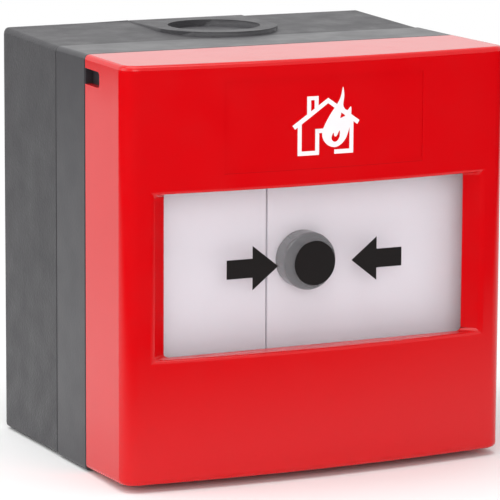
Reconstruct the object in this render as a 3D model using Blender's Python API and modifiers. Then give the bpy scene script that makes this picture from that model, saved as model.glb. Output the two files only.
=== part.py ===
"""Wall-mounted manual call point with a push pane, built as an assembly of its real pieces.

The origin is the centre of the wall face of the back box. The front faces -Y, +Z is up and +X is to
the right of someone who looks at the front. All sizes are in metres.
"""
import math

import bmesh
import bpy
from mathutils import Matrix, Vector

# Clearances
SEAT = 0.0003
RUN = 0.0003
SPLIT_GAP = 0.0004

# Back box
BOX_SIDE_STEP = 0.0001
BOX_TOP_STEP = 0.0002
BOX_DEPTH = 0.0295
BOX_WALL = 0.0022
BOX_REAR_WALL = 0.0024
CORNER_RADIUS = 0.0020
PAD_RADIUS = 0.0139
PAD_HEIGHT = 0.0011
PAD_CENTRE_DEPTH = 0.0150
KNOCKOUT_RADIUS = 0.0101
KNOCKOUT_DEPTH = 0.0014
KNOCKOUT_GROOVE = 0.0009
KNOCKOUT_GROOVE_DEPTH = 0.0005
FIXING_SPACING = 0.0500
FIXING_SLOT_WIDTH = 0.0045
FIXING_SLOT_LENGTH = 0.0095
POST_RADIUS = 0.0040

# Chassis
CHASSIS_SIDE_STEP = 0.0006
CHASSIS_DEPTH = 0.0160
CHASSIS_WALL = 0.0034
CHASSIS_FLOOR = 0.0022
SPIGOT_DEPTH = 0.0034
SPIGOT_WALL = 0.0015
SCREW_SPACING = 0.0603

# Front cover
COVER_WIDTH = 0.0880
COVER_HEIGHT = 0.0880
COVER_EDGE_DEPTH = 0.0215
COVER_CROWN = 0.0030
COVER_WALL = 0.0022
COVER_SIDE_RADIUS = 0.0035
COVER_EDGE_RADIUS = 0.0013
TONGUE_WIDTH = 0.0100
TONGUE_THICKNESS = 0.0016
TONGUE_SPACING = 0.0500
TONGUE_REACH = 0.0045
TONGUE_WEB = 0.0026
NOTCH_HEIGHT = 0.0033
NOTCH_LENGTH = 0.0080
NOTCH_DROP = 0.0044
NOTCH_RADIUS = 0.0009
PANEL_WIDTH = 0.0456
PANEL_HEIGHT = 0.0190
PANEL_BELOW_TOP = 0.0038
PANEL_RECESS = 0.0003

# Window in the cover
WINDOW_BESIDE = 0.0094
WINDOW_ABOVE = 0.0264
WINDOW_BELOW = 0.0274
WINDOW_REVEAL = 0.0046
WINDOW_BEVEL = 0.0035
WINDOW_SURROUND = 0.0022

# Push pane
PANE_LAP_SIDE = 0.0049
PANE_LAP_END = 0.0084
PANE_THICKNESS = 0.0020
PANE_CORNER = 0.0015
PEG_INSET_SIDE = 0.0055
PEG_INSET_END = 0.0025
PEG_RADIUS = 0.0013
PRESS_TRAVEL = 0.0024

# Element frame, actuator plate and plunger
PLATE_BEHIND_PANE = 0.0045
PLATE_THICKNESS = 0.0016
FRAME_BORDER_SIDE = 0.0015
FRAME_BORDER_END = 0.0045
ACTUATOR_LAP = 0.0026
ACTUATOR_INSET = 0.0020
SPLIT_X = -0.0080
HINGE_INSET = 0.0006
HINGE_BEHIND_PLATE = 0.0016
HINGE_PIN_RADIUS = 0.0008
HINGE_BARREL_RADIUS = 0.0022
HINGE_EAR = 0.0030
PLUNGER_RADIUS = 0.0061
PLUNGER_EDGE = 0.0003
STEM_RADIUS = 0.0025
STEM_TIP_RADIUS = 0.0008

# Reset slider
SLIDER_WIDTH = 0.0120
SLIDER_THICKNESS = 0.0020
SLIDER_LAP = 0.0055
KEY_REACH = 0.0028
SLIDER_FOOT_HEIGHT = 0.0020
SLIDER_FOOT_WIDTH = 0.0160
SLIDER_NOSE = 0.0012
RAIL_THICKNESS = 0.0016
RAIL_LIP = 0.0020
KEY_SLOT_WIDTH = 0.0100
KEY_SLOT_DEPTH = 0.0048

# Circuit board
BOARD_STANDOFF = 0.0099
BOARD_THICKNESS = 0.0016
BOARD_BESIDE = 0.0110
BOARD_BELOW = 0.0060
BOARD_TOP_Z = 0.0110
BOARD_ACCESS_RADIUS = 0.0042
BOARD_SCREW_INSET_SIDE = 0.0040
BOARD_SCREW_INSET_TOP = 0.0032
BOARD_SCREW_INSET_BOTTOM = 0.0035

# Alarm switch
SWITCH_WIDTH = 0.0058
SWITCH_LENGTH = 0.0128
SWITCH_DEPTH = 0.0065
SWITCH_DROP = 0.0007
LEVER_WIDTH = 0.0042
LEVER_LENGTH = 0.0135
LEVER_THICKNESS = 0.0004
LEVER_TILT = math.radians(13.0)
LEVER_BARREL_RADIUS = 0.0006
LEVER_PIVOT_RISE = 0.0015
LEVER_PIVOT_FORWARD = 0.0009
LUG_THICKNESS = 0.0005
BUTTON_WIDTH = 0.0018
BUTTON_HEIGHT = 0.0012
BUTTON_ARM = 0.0035
BUTTON_LENGTH = 0.0027
BUTTON_TRAVEL_ROOM = 0.0012
SWITCH_PIN_RADIUS = 0.00045
SWITCH_PIN_SPACING = 0.0050
SWITCH_PIN_TAIL = 0.0012

# Terminals and resistors
TERMINAL_WAYS = 6
TERMINAL_PITCH = 0.0050
TERMINAL_HEIGHT = 0.0100
TERMINAL_LENGTH = 0.0140
TERMINAL_RISE = 0.0110
TERMINAL_MARGIN = 0.0020
TERMINAL_SCREW_RADIUS = 0.0017
TERMINAL_SCREW_LENGTH = 0.0030
WIRE_ENTRY = 0.0028
RESISTOR_RADIUS = 0.0012
RESISTOR_LENGTH = 0.0064
RESISTOR_LEAD_RADIUS = 0.0003
RESISTOR_SPAN = 0.0110
RESISTOR_RISE = 0.0018
RESISTOR_X = 0.0190
RESISTOR_HEIGHT = 0.0180

# Springs
RETURN_SPRING_RADIUS = 0.0027
RETURN_SPRING_WIRE = 0.00035
RETURN_SPRING_TURNS = 6
RETURN_SPRING_X = 0.0040
RETURN_SPRING_INSET = 0.0037
SPRING_POST_DEPTH = 0.0150
PANE_SPRING_RADIUS = 0.0020
PANE_SPRING_WIRE = 0.0002
PANE_SPRING_TURNS = 2
POINTS_PER_TURN = 9

# Fasteners
CHASSIS_SCREW = {"head": 0.0030, "rise": 0.0020, "shank": 0.00145, "length": 0.0110}
FRAME_SCREW = {"head": 0.0023, "rise": 0.0011, "shank": 0.0011, "length": 0.0070}
BOARD_SCREW = {"head": 0.0020, "rise": 0.0012, "shank": 0.0009, "length": 0.0060}
HEAD_TOP_SHARE = 0.8
HEAD_RIM_SHARE = 0.6
BOARD_POST_WALL = 0.0014
FRAME_COLUMN_RADIUS = 0.0030
FRAME_SCREW_INSET_SIDE = 0.0045
FRAME_SCREW_INSET_END = 0.0028

# Facets
ROUND = 32
SMALL_ROUND = 16
ARC = 4
CROWN_ARC = 10
EDGE_STEPS = 1
FLAT_ANGLE = math.radians(0.02)
SHARP_ANGLE = math.radians(35.0)

# Sizes and places worked out from the sizes above
CHASSIS_WIDTH = COVER_WIDTH - 2 * CHASSIS_SIDE_STEP
CHASSIS_HEIGHT = COVER_HEIGHT
BOX_WIDTH = CHASSIS_WIDTH - 2 * BOX_SIDE_STEP
BOX_HEIGHT = CHASSIS_HEIGHT - 2 * BOX_TOP_STEP
PANEL_CENTRE_Z = COVER_HEIGHT / 2.0 - PANEL_BELOW_TOP - PANEL_HEIGHT / 2.0
WINDOW_WIDTH = COVER_WIDTH - 2 * WINDOW_BESIDE
WINDOW_HEIGHT = COVER_HEIGHT - WINDOW_ABOVE - WINDOW_BELOW
WINDOW_CENTRE_Z = (WINDOW_BELOW - WINDOW_ABOVE) / 2.0
PANE_WIDTH = WINDOW_WIDTH + 2 * PANE_LAP_SIDE
PANE_HEIGHT = WINDOW_HEIGHT + 2 * PANE_LAP_END
PEG_SPACING_X = PANE_WIDTH - 2 * PEG_INSET_SIDE
PEG_SPACING_Z = PANE_HEIGHT - 2 * PEG_INSET_END
FRAME_WIDTH = PANE_WIDTH + 2 * FRAME_BORDER_SIDE
FRAME_HEIGHT = PANE_HEIGHT + 2 * FRAME_BORDER_END
FRAME_SCREW_SPACING_X = FRAME_WIDTH - 2 * FRAME_SCREW_INSET_SIDE
FRAME_SCREW_SPACING_Z = FRAME_HEIGHT - 2 * FRAME_SCREW_INSET_END
ACTUATOR_HEIGHT = WINDOW_HEIGHT + 2 * ACTUATOR_LAP
ACTUATOR_RIGHT = FRAME_WIDTH / 2.0 - ACTUATOR_INSET
HINGE_X = ACTUATOR_RIGHT - HINGE_INSET
SLIDER_TOP_Z = WINDOW_CENTRE_Z - FRAME_HEIGHT / 2.0 + SLIDER_LAP
SLIDER_FOOT_Z = COVER_WALL + KEY_REACH - COVER_HEIGHT / 2.0
BOARD_WIDTH = COVER_WIDTH - 2 * BOARD_BESIDE
BOARD_BOTTOM_Z = BOARD_BELOW - COVER_HEIGHT / 2.0
TERMINAL_CENTRE_Z = BOARD_BOTTOM_Z + TERMINAL_RISE
RESISTOR_Z = BOARD_BOTTOM_Z + RESISTOR_HEIGHT
RETURN_SPRING_Z = WINDOW_CENTRE_Z + ACTUATOR_HEIGHT / 2.0 - RETURN_SPRING_INSET
SPRING_POST_RADIUS = RETURN_SPRING_RADIUS + 2 * RETURN_SPRING_WIRE
BOX_FRONT_Y = -BOX_DEPTH
COVER_REAR_Y = BOX_FRONT_Y - CHASSIS_DEPTH
CHASSIS_REAR_Y = BOX_FRONT_Y - SEAT
CHASSIS_FRONT_Y = COVER_REAR_Y + SEAT
FLOOR_FRONT_Y = CHASSIS_REAR_Y - CHASSIS_FLOOR
SPIGOT_FRONT_Y = CHASSIS_FRONT_Y - SPIGOT_DEPTH
COVER_EDGE_Y = COVER_REAR_Y - COVER_EDGE_DEPTH
COVER_FRONT_Y = COVER_EDGE_Y - COVER_CROWN
WINDOW_SEAT_Y = COVER_FRONT_Y + WINDOW_REVEAL
PANE_FRONT_Y = WINDOW_SEAT_Y + SEAT
PANE_REAR_Y = PANE_FRONT_Y + PANE_THICKNESS
PLATE_FRONT_Y = PANE_REAR_Y + PLATE_BEHIND_PANE
PLATE_REAR_Y = PLATE_FRONT_Y + PLATE_THICKNESS
HINGE_Y = PLATE_REAR_Y + HINGE_BEHIND_PLATE
BOARD_REAR_Y = FLOOR_FRONT_Y - BOARD_STANDOFF - SEAT
BOARD_FRONT_Y = BOARD_REAR_Y - BOARD_THICKNESS
SWITCH_REAR_Y = BOARD_FRONT_Y - SEAT
SWITCH_FRONT_Y = SWITCH_REAR_Y - SWITCH_DEPTH
SWITCH_TOP_Z = WINDOW_CENTRE_Z - SWITCH_DROP
SWITCH_BOTTOM_Z = SWITCH_TOP_Z - SWITCH_LENGTH
LEVER_Y = SWITCH_FRONT_Y - LEVER_PIVOT_FORWARD
LEVER_Z = SWITCH_BOTTOM_Z + LEVER_PIVOT_RISE
COLUMN_FRONT_Y = PLATE_REAR_Y + SEAT
SPRING_POST_FRONT_Y = FLOOR_FRONT_Y - SPRING_POST_DEPTH
TERMINAL_FRONT_Y = BOARD_REAR_Y + SEAT
TERMINAL_REAR_Y = TERMINAL_FRONT_Y + TERMINAL_LENGTH
SLIDER_FRONT_Y = PLATE_REAR_Y + RUN
SLIDER_REAR_Y = SLIDER_FRONT_Y + SLIDER_THICKNESS


def clear_scene():
    """Remove whatever the open file holds."""
    for item in list(bpy.data.objects):
        bpy.data.objects.remove(item, do_unlink=True)


def named_collection(name):
    """Return a fresh collection in the scene."""
    group = bpy.data.collections.new(name)
    bpy.context.scene.collection.children.link(group)
    return group


clear_scene()
PARTS = named_collection("manual_call_point")
CUTTERS = named_collection("cutters")
ASSEMBLY = bpy.data.objects.new("call_point_assembly", None)
PARTS.objects.link(ASSEMBLY)


def linear(channel):
    """Turn one sRGB channel of 0 to 255 into a linear value."""
    value = channel / 255.0
    if value <= 0.04045:
        return value / 12.92
    return ((value + 0.055) / 1.055) ** 2.4


def plastic(name, colour, roughness, metallic=0.0, alpha=1.0):
    """Make a Principled material from an sRGB colour."""
    finish = bpy.data.materials.new(name)
    finish.use_nodes = True
    shader = finish.node_tree.nodes["Principled BSDF"]
    shader.inputs["Base Color"].default_value = [linear(c) for c in colour] + [1.0]
    shader.inputs["Roughness"].default_value = roughness
    shader.inputs["Metallic"].default_value = metallic
    shader.inputs["Alpha"].default_value = alpha
    return finish


BLACK_TEXTURED = plastic("black_textured_abs", (58, 57, 60), 0.55)
BLACK_SATIN = plastic("black_satin_abs", (48, 47, 50), 0.40)
RED_GLOSS = plastic("red_gloss_abs", (218, 10, 18), 0.18)
CLEAR = plastic("clear_polycarbonate", (240, 240, 240), 0.05, alpha=0.25)
GREY = plastic("grey_acetal", (100, 98, 104), 0.35)
WHITE = plastic("white_abs", (226, 222, 228), 0.20)
STEEL = plastic("zinc_plated_steel", (190, 192, 194), 0.35, metallic=1.0)
BOARD_GREEN = plastic("green_solder_mask", (28, 92, 56), 0.35)
TERMINAL_GREEN = plastic("green_polyamide", (52, 120, 70), 0.45)
RESISTOR_TAN = plastic("tan_lacquer", (196, 168, 120), 0.40)


def mesh_from(build):
    """Make a mesh from a function that fills a bmesh, with its faces pointing out."""
    form = bmesh.new()
    build(form)
    bmesh.ops.remove_doubles(form, verts=form.verts, dist=1e-7)
    bmesh.ops.recalc_face_normals(form, faces=form.faces)
    mesh = bpy.data.meshes.new("form")
    form.to_mesh(mesh)
    form.free()
    return mesh


def evaluated_mesh(item):
    """Make a plain mesh from a temporary object, in world places, and remove the object."""
    PARTS.objects.link(item)
    bpy.context.view_layer.update()
    graph = bpy.context.evaluated_depsgraph_get()
    mesh = bpy.data.meshes.new_from_object(item.evaluated_get(graph))
    bpy.data.objects.remove(item, do_unlink=True)
    return mesh_from(lambda form: form.from_mesh(mesh))


def moved(mesh, matrix):
    """Place a mesh by a matrix and return it."""
    mesh.transform(matrix)
    return mesh


AXES = {
    "X": Matrix(((0, 0, 1, 0), (1, 0, 0, 0), (0, 1, 0, 0), (0, 0, 0, 1))),
    "Y": Matrix.Rotation(math.radians(90.0), 4, "X"),
    "Z": Matrix.Identity(4),
}
STEPS = {"X": Vector((1, 0, 0)), "Y": Vector((0, 1, 0)), "Z": Vector((0, 0, 1))}


def prism(outline, axis, start, end):
    """Extrude a flat outline along an axis. Outlines are (y, z), (x, z) or (x, y) for X, Y and Z."""
    curve = bpy.data.curves.new("outline", "CURVE")
    curve.dimensions = "2D"
    curve.fill_mode = "BOTH"
    curve.extrude = abs(end - start) / 2.0
    spline = curve.splines.new("POLY")
    spline.points.add(len(outline) - 1)
    for point, (across, along) in zip(spline.points, outline):
        point.co = (across, along, 0.0, 1.0)
    spline.use_cyclic_u = True
    mesh = evaluated_mesh(bpy.data.objects.new("outline", curve))
    middle = STEPS[axis] * ((start + end) / 2.0)
    return moved(mesh, Matrix.Translation(middle) @ AXES[axis])


def block(low, high):
    """Make a box between two corners."""
    size = [abs(b - a) for a, b in zip(low, high)]
    middle = Vector([(a + b) / 2.0 for a, b in zip(low, high)])
    place = Matrix.Translation(middle) @ Matrix.Diagonal(size + [1.0])
    return mesh_from(lambda form: bmesh.ops.create_cube(form, size=1.0, matrix=place))


def rod(centre, axis, radius, start, end, sides=SMALL_ROUND):
    """Make a cylinder along an axis. The centre holds the two places across that axis."""
    turn = AXES[axis].to_3x3()
    middle = turn @ Vector((centre[0], centre[1], 0.0)) + STEPS[axis] * ((start + end) / 2.0)
    place = Matrix.Translation(middle) @ AXES[axis]

    def build(form):
        bmesh.ops.create_cone(form, cap_ends=True, segments=sides, radius1=radius, radius2=radius,
                              depth=abs(end - start), matrix=place)

    return mesh_from(build)


def turned(profile, sides=ROUND):
    """Revolve a profile of (radius, height) points, listed from the top to the bottom, about Z."""
    mesh = bpy.data.meshes.new("profile")
    points = [(radius, 0.0, height) for radius, height in profile]
    mesh.from_pydata(points, [(i, i + 1) for i in range(len(points) - 1)], [])
    item = bpy.data.objects.new("profile", mesh)
    lathe = item.modifiers.new("lathe", "SCREW")
    lathe.steps = sides
    lathe.render_steps = sides
    lathe.use_merge_vertices = True
    lathe.merge_threshold = 1e-6
    return evaluated_mesh(item)


def arc(centre, radius, first, last, count=ARC):
    """List the points of an arc between two angles in degrees."""
    points = []
    for i in range(count + 1):
        angle = math.radians(first + (last - first) * i / count)
        points.append((centre[0] + radius * math.cos(angle), centre[1] + radius * math.sin(angle)))
    return points


def rounded_rectangle(width, height, radius, centre=(0.0, 0.0)):
    """Outline a rectangle with round corners."""
    across = width / 2.0 - radius
    along = height / 2.0 - radius
    corners = ((across, along, 0), (-across, along, 90), (-across, -along, 180), (across, -along, 270))
    points = []
    for x, y, angle in corners:
        points += arc((centre[0] + x, centre[1] + y), radius, angle, angle + 90)
    return points


def corner_places(spacing_x, spacing_z, centre_z):
    """List the four corners of a rectangle as (x, z)."""
    return [(x * spacing_x / 2.0, centre_z + z * spacing_z / 2.0) for x in (-1, 1) for z in (-1, 1)]


def finished(mesh, finish):
    """Give a mesh its material, and shade its round faces smooth."""
    mesh.materials.append(finish)
    mesh.shade_smooth()
    mesh.set_sharp_from_angle(angle=SHARP_ANGLE)
    return mesh


def add_piece(name, mesh, place):
    """Add a named piece of the assembly at a place."""
    item = bpy.data.objects.new(name, mesh)
    item.location = place
    item.parent = ASSEMBLY
    PARTS.objects.link(item)
    return item


def part(name, mesh, finish, origin=(0.0, 0.0, 0.0)):
    """Add a piece that is drawn in place, with its own origin at a place that matters to it."""
    mesh.name = name
    mesh.transform(Matrix.Translation(-Vector(origin)))
    return add_piece(name, finished(mesh, finish), origin)


def copies(name, mesh, finish, places):
    """Add like pieces that share one mesh, numbered in the order of their places."""
    mesh.name = name
    finished(mesh, finish)
    for number, place in enumerate(places, 1):
        add_piece(name + "_" + str(number), mesh, place)


def shape(item, operation, *meshes):
    """Cut shapes out of a piece, or weld shapes on to it, with live Boolean modifiers."""
    for mesh in meshes:
        tool = bpy.data.objects.new(item.name + "_" + operation.lower(), mesh)
        tool.hide_render = True
        tool.display_type = "WIRE"
        CUTTERS.objects.link(tool)
        cut = item.modifiers.new(tool.name, "BOOLEAN")
        cut.operation = operation
        cut.solver = "EXACT"
        cut.object = tool


def screws(name, places, seat_y, size):
    """Add like screws whose heads face the front and sit on one plane. Places are (x, z)."""
    head, rise, shank, length = (size[key] for key in ("head", "rise", "shank", "length"))
    profile = [(0.0, rise), (head * HEAD_TOP_SHARE, rise), (head, rise * HEAD_RIM_SHARE), (head, 0.0),
               (shank, 0.0), (shank, shank - length), (0.0, -length)]
    single = moved(turned(profile, SMALL_ROUND), AXES["Y"])
    copies(name, single, STEEL, [(x, seat_y, z) for x, z in places])


def helix(radius, length, turns, wire):
    """List a compression coil's points along Z."""
    count = turns * POINTS_PER_TURN
    points = []
    for i in range(count + 1):
        angle = 2.0 * math.pi * i / POINTS_PER_TURN
        points.append(Vector((radius * math.cos(angle), radius * math.sin(angle),
                              wire + (length - 2.0 * wire) * i / count)))
    return points


def self_gap(points, wire):
    """Measure the least clear distance between neighbouring turns of a coil."""
    nearest = [(a - b).length for i, a in enumerate(points) for b in points[i + POINTS_PER_TURN - 2:]]
    return min(nearest) - 2.0 * wire


def coil(radius, length, turns, wire, name):
    """Make a wire coil that stands on the XY plane."""
    points = helix(radius, length, turns, wire)
    print(name, "least gap of the coil to itself in mm:", round(self_gap(points, wire) * 1000.0, 3))
    curve = bpy.data.curves.new("coil", "CURVE")
    curve.dimensions = "3D"
    curve.bevel_depth = wire
    curve.bevel_resolution = 1
    curve.use_fill_caps = True
    spline = curve.splines.new("POLY")
    spline.points.add(len(points) - 1)
    for point, place in zip(spline.points, points):
        point.co = (*place, 1.0)
    return evaluated_mesh(bpy.data.objects.new("coil", curve))


def make_back_box():
    """Surface box: a deep tray with a conduit pad on top, fixing slots and two screw posts."""
    outer = rounded_rectangle(BOX_WIDTH, BOX_HEIGHT, CORNER_RADIUS)
    box = part("back_box", prism(outer, "Y", 0.0, BOX_FRONT_Y), BLACK_TEXTURED)
    inner = rounded_rectangle(BOX_WIDTH - 2 * BOX_WALL, BOX_HEIGHT - 2 * BOX_WALL, CORNER_RADIUS / 2)
    shape(box, "DIFFERENCE", prism(inner, "Y", -BOX_REAR_WALL, BOX_FRONT_Y - BOX_WALL))

    top = BOX_HEIGHT / 2.0
    pad_y = -PAD_CENTRE_DEPTH
    pad = [(PAD_RADIUS, 0.0)] + [(-PAD_RADIUS, 0.0)] + arc((0.0, pad_y), PAD_RADIUS, 180, 360, ROUND // 2)
    shape(box, "UNION", prism(pad, "Z", top - BOX_WALL / 2, top + PAD_HEIGHT))
    pad_top = top + PAD_HEIGHT
    centre = (0.0, pad_y)
    groove_top = pad_top - KNOCKOUT_DEPTH
    shape(box, "DIFFERENCE",
          rod(centre, "Z", KNOCKOUT_RADIUS, groove_top, pad_top + BOX_WALL, ROUND),
          knockout_ring(centre, groove_top, KNOCKOUT_GROOVE_DEPTH, 1.0),
          knockout_ring(centre, -top, KNOCKOUT_GROOVE_DEPTH + KNOCKOUT_GROOVE / 2, -1.0))

    for side in (-1, 1):
        place = (0.0, side * FIXING_SPACING / 2.0)
        slot = rounded_rectangle(FIXING_SLOT_LENGTH, FIXING_SLOT_WIDTH, FIXING_SLOT_WIDTH / 2.01, place)
        shape(box, "DIFFERENCE", prism(slot, "Y", BOX_REAR_WALL, -2 * BOX_REAR_WALL))
    for side in (-1, 1):
        place = (side * SCREW_SPACING / 2.0, 0.0)
        hole_end = BOX_FRONT_Y + CHASSIS_SCREW["length"]
        shape(box, "UNION", rod(place, "Y", POST_RADIUS, -BOX_REAR_WALL / 2, BOX_FRONT_Y))
        shape(box, "DIFFERENCE",
              rod(place, "Y", CHASSIS_SCREW["shank"] + RUN, hole_end, BOX_FRONT_Y - BOX_WALL))


def knockout_ring(centre, surface_z, depth, side):
    """Ring that cuts the thin line of a knockout into a flat top or bottom surface."""
    outside = KNOCKOUT_RADIUS - KNOCKOUT_GROOVE / 4
    inside = KNOCKOUT_RADIUS - KNOCKOUT_GROOVE
    high = KNOCKOUT_DEPTH / 2
    profile = [(outside, high), (outside, -depth), (inside, -depth), (inside, high), (outside, high)]
    ring = turned(profile, ROUND)
    flip = Matrix.Identity(4) if side > 0 else Matrix.Rotation(math.pi, 4, "X")
    return moved(ring, Matrix.Translation((centre[0], centre[1], surface_z)) @ flip)


def make_chassis():
    """Band and floor between the box and the cover, with the spigot that the cover fits over."""
    outer = rounded_rectangle(CHASSIS_WIDTH, CHASSIS_HEIGHT, CORNER_RADIUS)
    chassis = part("chassis", prism(outer, "Y", CHASSIS_REAR_Y, CHASSIS_FRONT_Y), BLACK_SATIN)
    spigot_width = COVER_WIDTH - 2 * COVER_WALL - 2 * SEAT
    spigot_height = COVER_HEIGHT - 2 * COVER_WALL - 2 * SEAT
    spigot = rounded_rectangle(spigot_width, spigot_height, CORNER_RADIUS / 2)
    shape(chassis, "UNION", prism(spigot, "Y", CHASSIS_FRONT_Y + CHASSIS_WALL, SPIGOT_FRONT_Y))
    cavity = rounded_rectangle(spigot_width - 2 * SPIGOT_WALL, spigot_height - 2 * SPIGOT_WALL,
                               CORNER_RADIUS / 2)
    shape(chassis, "DIFFERENCE", prism(cavity, "Y", FLOOR_FRONT_Y, SPIGOT_FRONT_Y - CHASSIS_WALL))

    notch_half = TONGUE_WIDTH / 2.0 + 2 * RUN
    for side in (-1, 1):
        middle = side * TONGUE_SPACING / 2.0
        shape(chassis, "DIFFERENCE",
              block((middle - notch_half, SPIGOT_FRONT_Y - SPIGOT_WALL, CHASSIS_HEIGHT / 4.0),
                    (middle + notch_half, CHASSIS_FRONT_Y - RUN, COVER_HEIGHT / 2.0)))

    root_y = FLOOR_FRONT_Y + CHASSIS_FLOOR / 2
    board_post_front = FLOOR_FRONT_Y - BOARD_STANDOFF
    posts = []
    holes = []
    for x, z in board_screw_places():
        posts.append(rod((x, z), "Y", BOARD_SCREW["shank"] + BOARD_POST_WALL, root_y, board_post_front))
        holes.append(rod((x, z), "Y", BOARD_SCREW["shank"] + RUN,
                         board_post_front + BOARD_SCREW["length"], board_post_front - BOARD_THICKNESS))
    for x, z in corner_places(FRAME_SCREW_SPACING_X, FRAME_SCREW_SPACING_Z, WINDOW_CENTRE_Z):
        posts.append(rod((x, z), "Y", FRAME_COLUMN_RADIUS, root_y, COLUMN_FRONT_Y))
        holes.append(rod((x, z), "Y", FRAME_SCREW["shank"] + RUN,
                         COLUMN_FRONT_Y + FRAME_SCREW["length"], COLUMN_FRONT_Y - PLATE_THICKNESS))
    place = (RETURN_SPRING_X, RETURN_SPRING_Z)
    posts.append(rod(place, "Y", SPRING_POST_RADIUS, root_y, SPRING_POST_FRONT_Y))
    nub_radius = RETURN_SPRING_RADIUS - 2 * RETURN_SPRING_WIRE - RUN
    posts.append(rod(place, "Y", nub_radius, SPRING_POST_FRONT_Y + CHASSIS_FLOOR,
                     SPRING_POST_FRONT_Y - 2 * nub_radius))
    for side in (-1, 1):
        place = (side * SCREW_SPACING / 2.0, 0.0)
        holes.append(rod(place, "Y", CHASSIS_SCREW["shank"] + RUN, CHASSIS_REAR_Y + CHASSIS_FLOOR,
                         FLOOR_FRONT_Y - CHASSIS_FLOOR))
    shape(chassis, "UNION", *posts)
    window_x = terminal_width() / 2.0 + TERMINAL_MARGIN
    window_z = TERMINAL_HEIGHT / 2.0 + TERMINAL_MARGIN
    holes.append(block((-window_x, CHASSIS_REAR_Y + CHASSIS_FLOOR, TERMINAL_CENTRE_Z - window_z),
                       (window_x, FLOOR_FRONT_Y - CHASSIS_FLOOR, TERMINAL_CENTRE_Z + window_z)))
    shape(chassis, "DIFFERENCE", *holes)


def board_screw_places():
    """List where the circuit board is screwed down, as (x, z)."""
    half = BOARD_WIDTH / 2.0 - BOARD_SCREW_INSET_SIDE
    heights = (BOARD_TOP_Z - BOARD_SCREW_INSET_TOP, BOARD_BOTTOM_Z + BOARD_SCREW_INSET_BOTTOM)
    return [(x, z) for x in (-half, half) for z in heights]


def terminal_width():
    """Width of the terminal block over all its ways."""
    return TERMINAL_WAYS * TERMINAL_PITCH


def crown_circle(half_width, edge_y, crown):
    """Return the centre height and the radius of the crowned front, seen from above."""
    radius = (half_width ** 2 + crown ** 2) / (2.0 * crown)
    return edge_y - crown + radius, radius


def crown_points(half_width, centre_y, radius, count=CROWN_ARC):
    """List the crowned front from the left to the right between two half widths."""
    swing = math.degrees(math.asin(half_width / radius))
    return arc((0.0, centre_y), radius, 270 - swing, 270 + swing, count)


def cover_plan(inset, rear_y):
    """Outline the cover seen from above, drawn in from its outside by an inset."""
    centre_y, radius = crown_circle(COVER_WIDTH / 2.0, COVER_EDGE_Y, COVER_CROWN)
    radius -= inset
    half = COVER_WIDTH / 2.0 - inset
    fillet = max(COVER_SIDE_RADIUS - inset, COVER_SIDE_RADIUS / 4)
    fillet_y = centre_y - math.sqrt((radius - fillet) ** 2 - (half - fillet) ** 2)
    swing = math.degrees(math.asin((half - fillet) / (radius - fillet)))
    left = arc((fillet - half, fillet_y), fillet, 180, 270 - swing)
    front = arc((0.0, centre_y), radius, 270 - swing, 270 + swing, CROWN_ARC)
    right = arc((half - fillet, fillet_y), fillet, 270 + swing, 360)
    return [(-half, rear_y)] + left + front[1:-1] + right + [(half, rear_y)]


def make_front_cover():
    """Red cover: a crowned shell with a bevelled window, sign panel, key slot and top tongues."""
    half_height = COVER_HEIGHT / 2.0
    body = prism(cover_plan(0.0, COVER_REAR_Y), "Z", -half_height, half_height)
    cover = part("front_cover", body, RED_GLOSS, (0.0, COVER_REAR_Y, half_height))
    weigh_rim_edges(cover)
    rounding = cover.modifiers.new("rounded_edges", "BEVEL")
    rounding.width = COVER_EDGE_RADIUS
    rounding.segments = EDGE_STEPS
    rounding.limit_method = "WEIGHT"
    rounding.use_clamp_overlap = False
    inside_height = half_height - COVER_WALL
    shape(cover, "DIFFERENCE",
          prism(cover_plan(COVER_WALL, COVER_REAR_Y + COVER_WALL), "Z", -inside_height, inside_height))

    centre_y, radius = crown_circle(COVER_WIDTH / 2.0, COVER_EDGE_Y, COVER_CROWN)
    frame_x = WINDOW_WIDTH / 2.0 + WINDOW_BEVEL + WINDOW_SURROUND
    frame_z = WINDOW_HEIGHT / 2.0 + WINDOW_SURROUND
    surround = crown_points(frame_x, centre_y, radius - COVER_WALL / 2.0)
    surround += [(frame_x, WINDOW_SEAT_Y), (-frame_x, WINDOW_SEAT_Y)]
    shape(cover, "UNION", prism(surround, "Z", WINDOW_CENTRE_Z - frame_z, WINDOW_CENTRE_Z + frame_z))
    shape(cover, "DIFFERENCE", window_cutter())

    panel = crown_points(PANEL_WIDTH / 2.0, centre_y, radius - PANEL_RECESS)
    ahead_y = COVER_FRONT_Y - COVER_CROWN
    panel += [(PANEL_WIDTH / 2.0, ahead_y), (-PANEL_WIDTH / 2.0, ahead_y)]
    shape(cover, "DIFFERENCE",
          prism(panel, "Z", PANEL_CENTRE_Z - PANEL_HEIGHT / 2.0, PANEL_CENTRE_Z + PANEL_HEIGHT / 2.0))

    notch_y = COVER_REAR_Y - NOTCH_LENGTH / 2.0 + NOTCH_RADIUS
    notch = rounded_rectangle(NOTCH_LENGTH + 2 * NOTCH_RADIUS, NOTCH_HEIGHT, NOTCH_RADIUS,
                              (notch_y, half_height - NOTCH_DROP))
    outside = COVER_WIDTH / 2.0 + COVER_WALL
    inside = COVER_WIDTH / 2.0 - 2 * COVER_WALL
    shape(cover, "DIFFERENCE", prism(notch, "X", -outside, -inside), prism(notch, "X", inside, outside))

    slot_y = (SLIDER_FRONT_Y + SLIDER_REAR_Y) / 2.0
    shape(cover, "DIFFERENCE",
          block((-KEY_SLOT_WIDTH / 2.0, slot_y - KEY_SLOT_DEPTH / 2.0, -half_height - COVER_WALL),
                (KEY_SLOT_WIDTH / 2.0, slot_y + KEY_SLOT_DEPTH / 2.0, -half_height + 2 * COVER_WALL)))
    shape(cover, "UNION", *cover_tongues())


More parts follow.
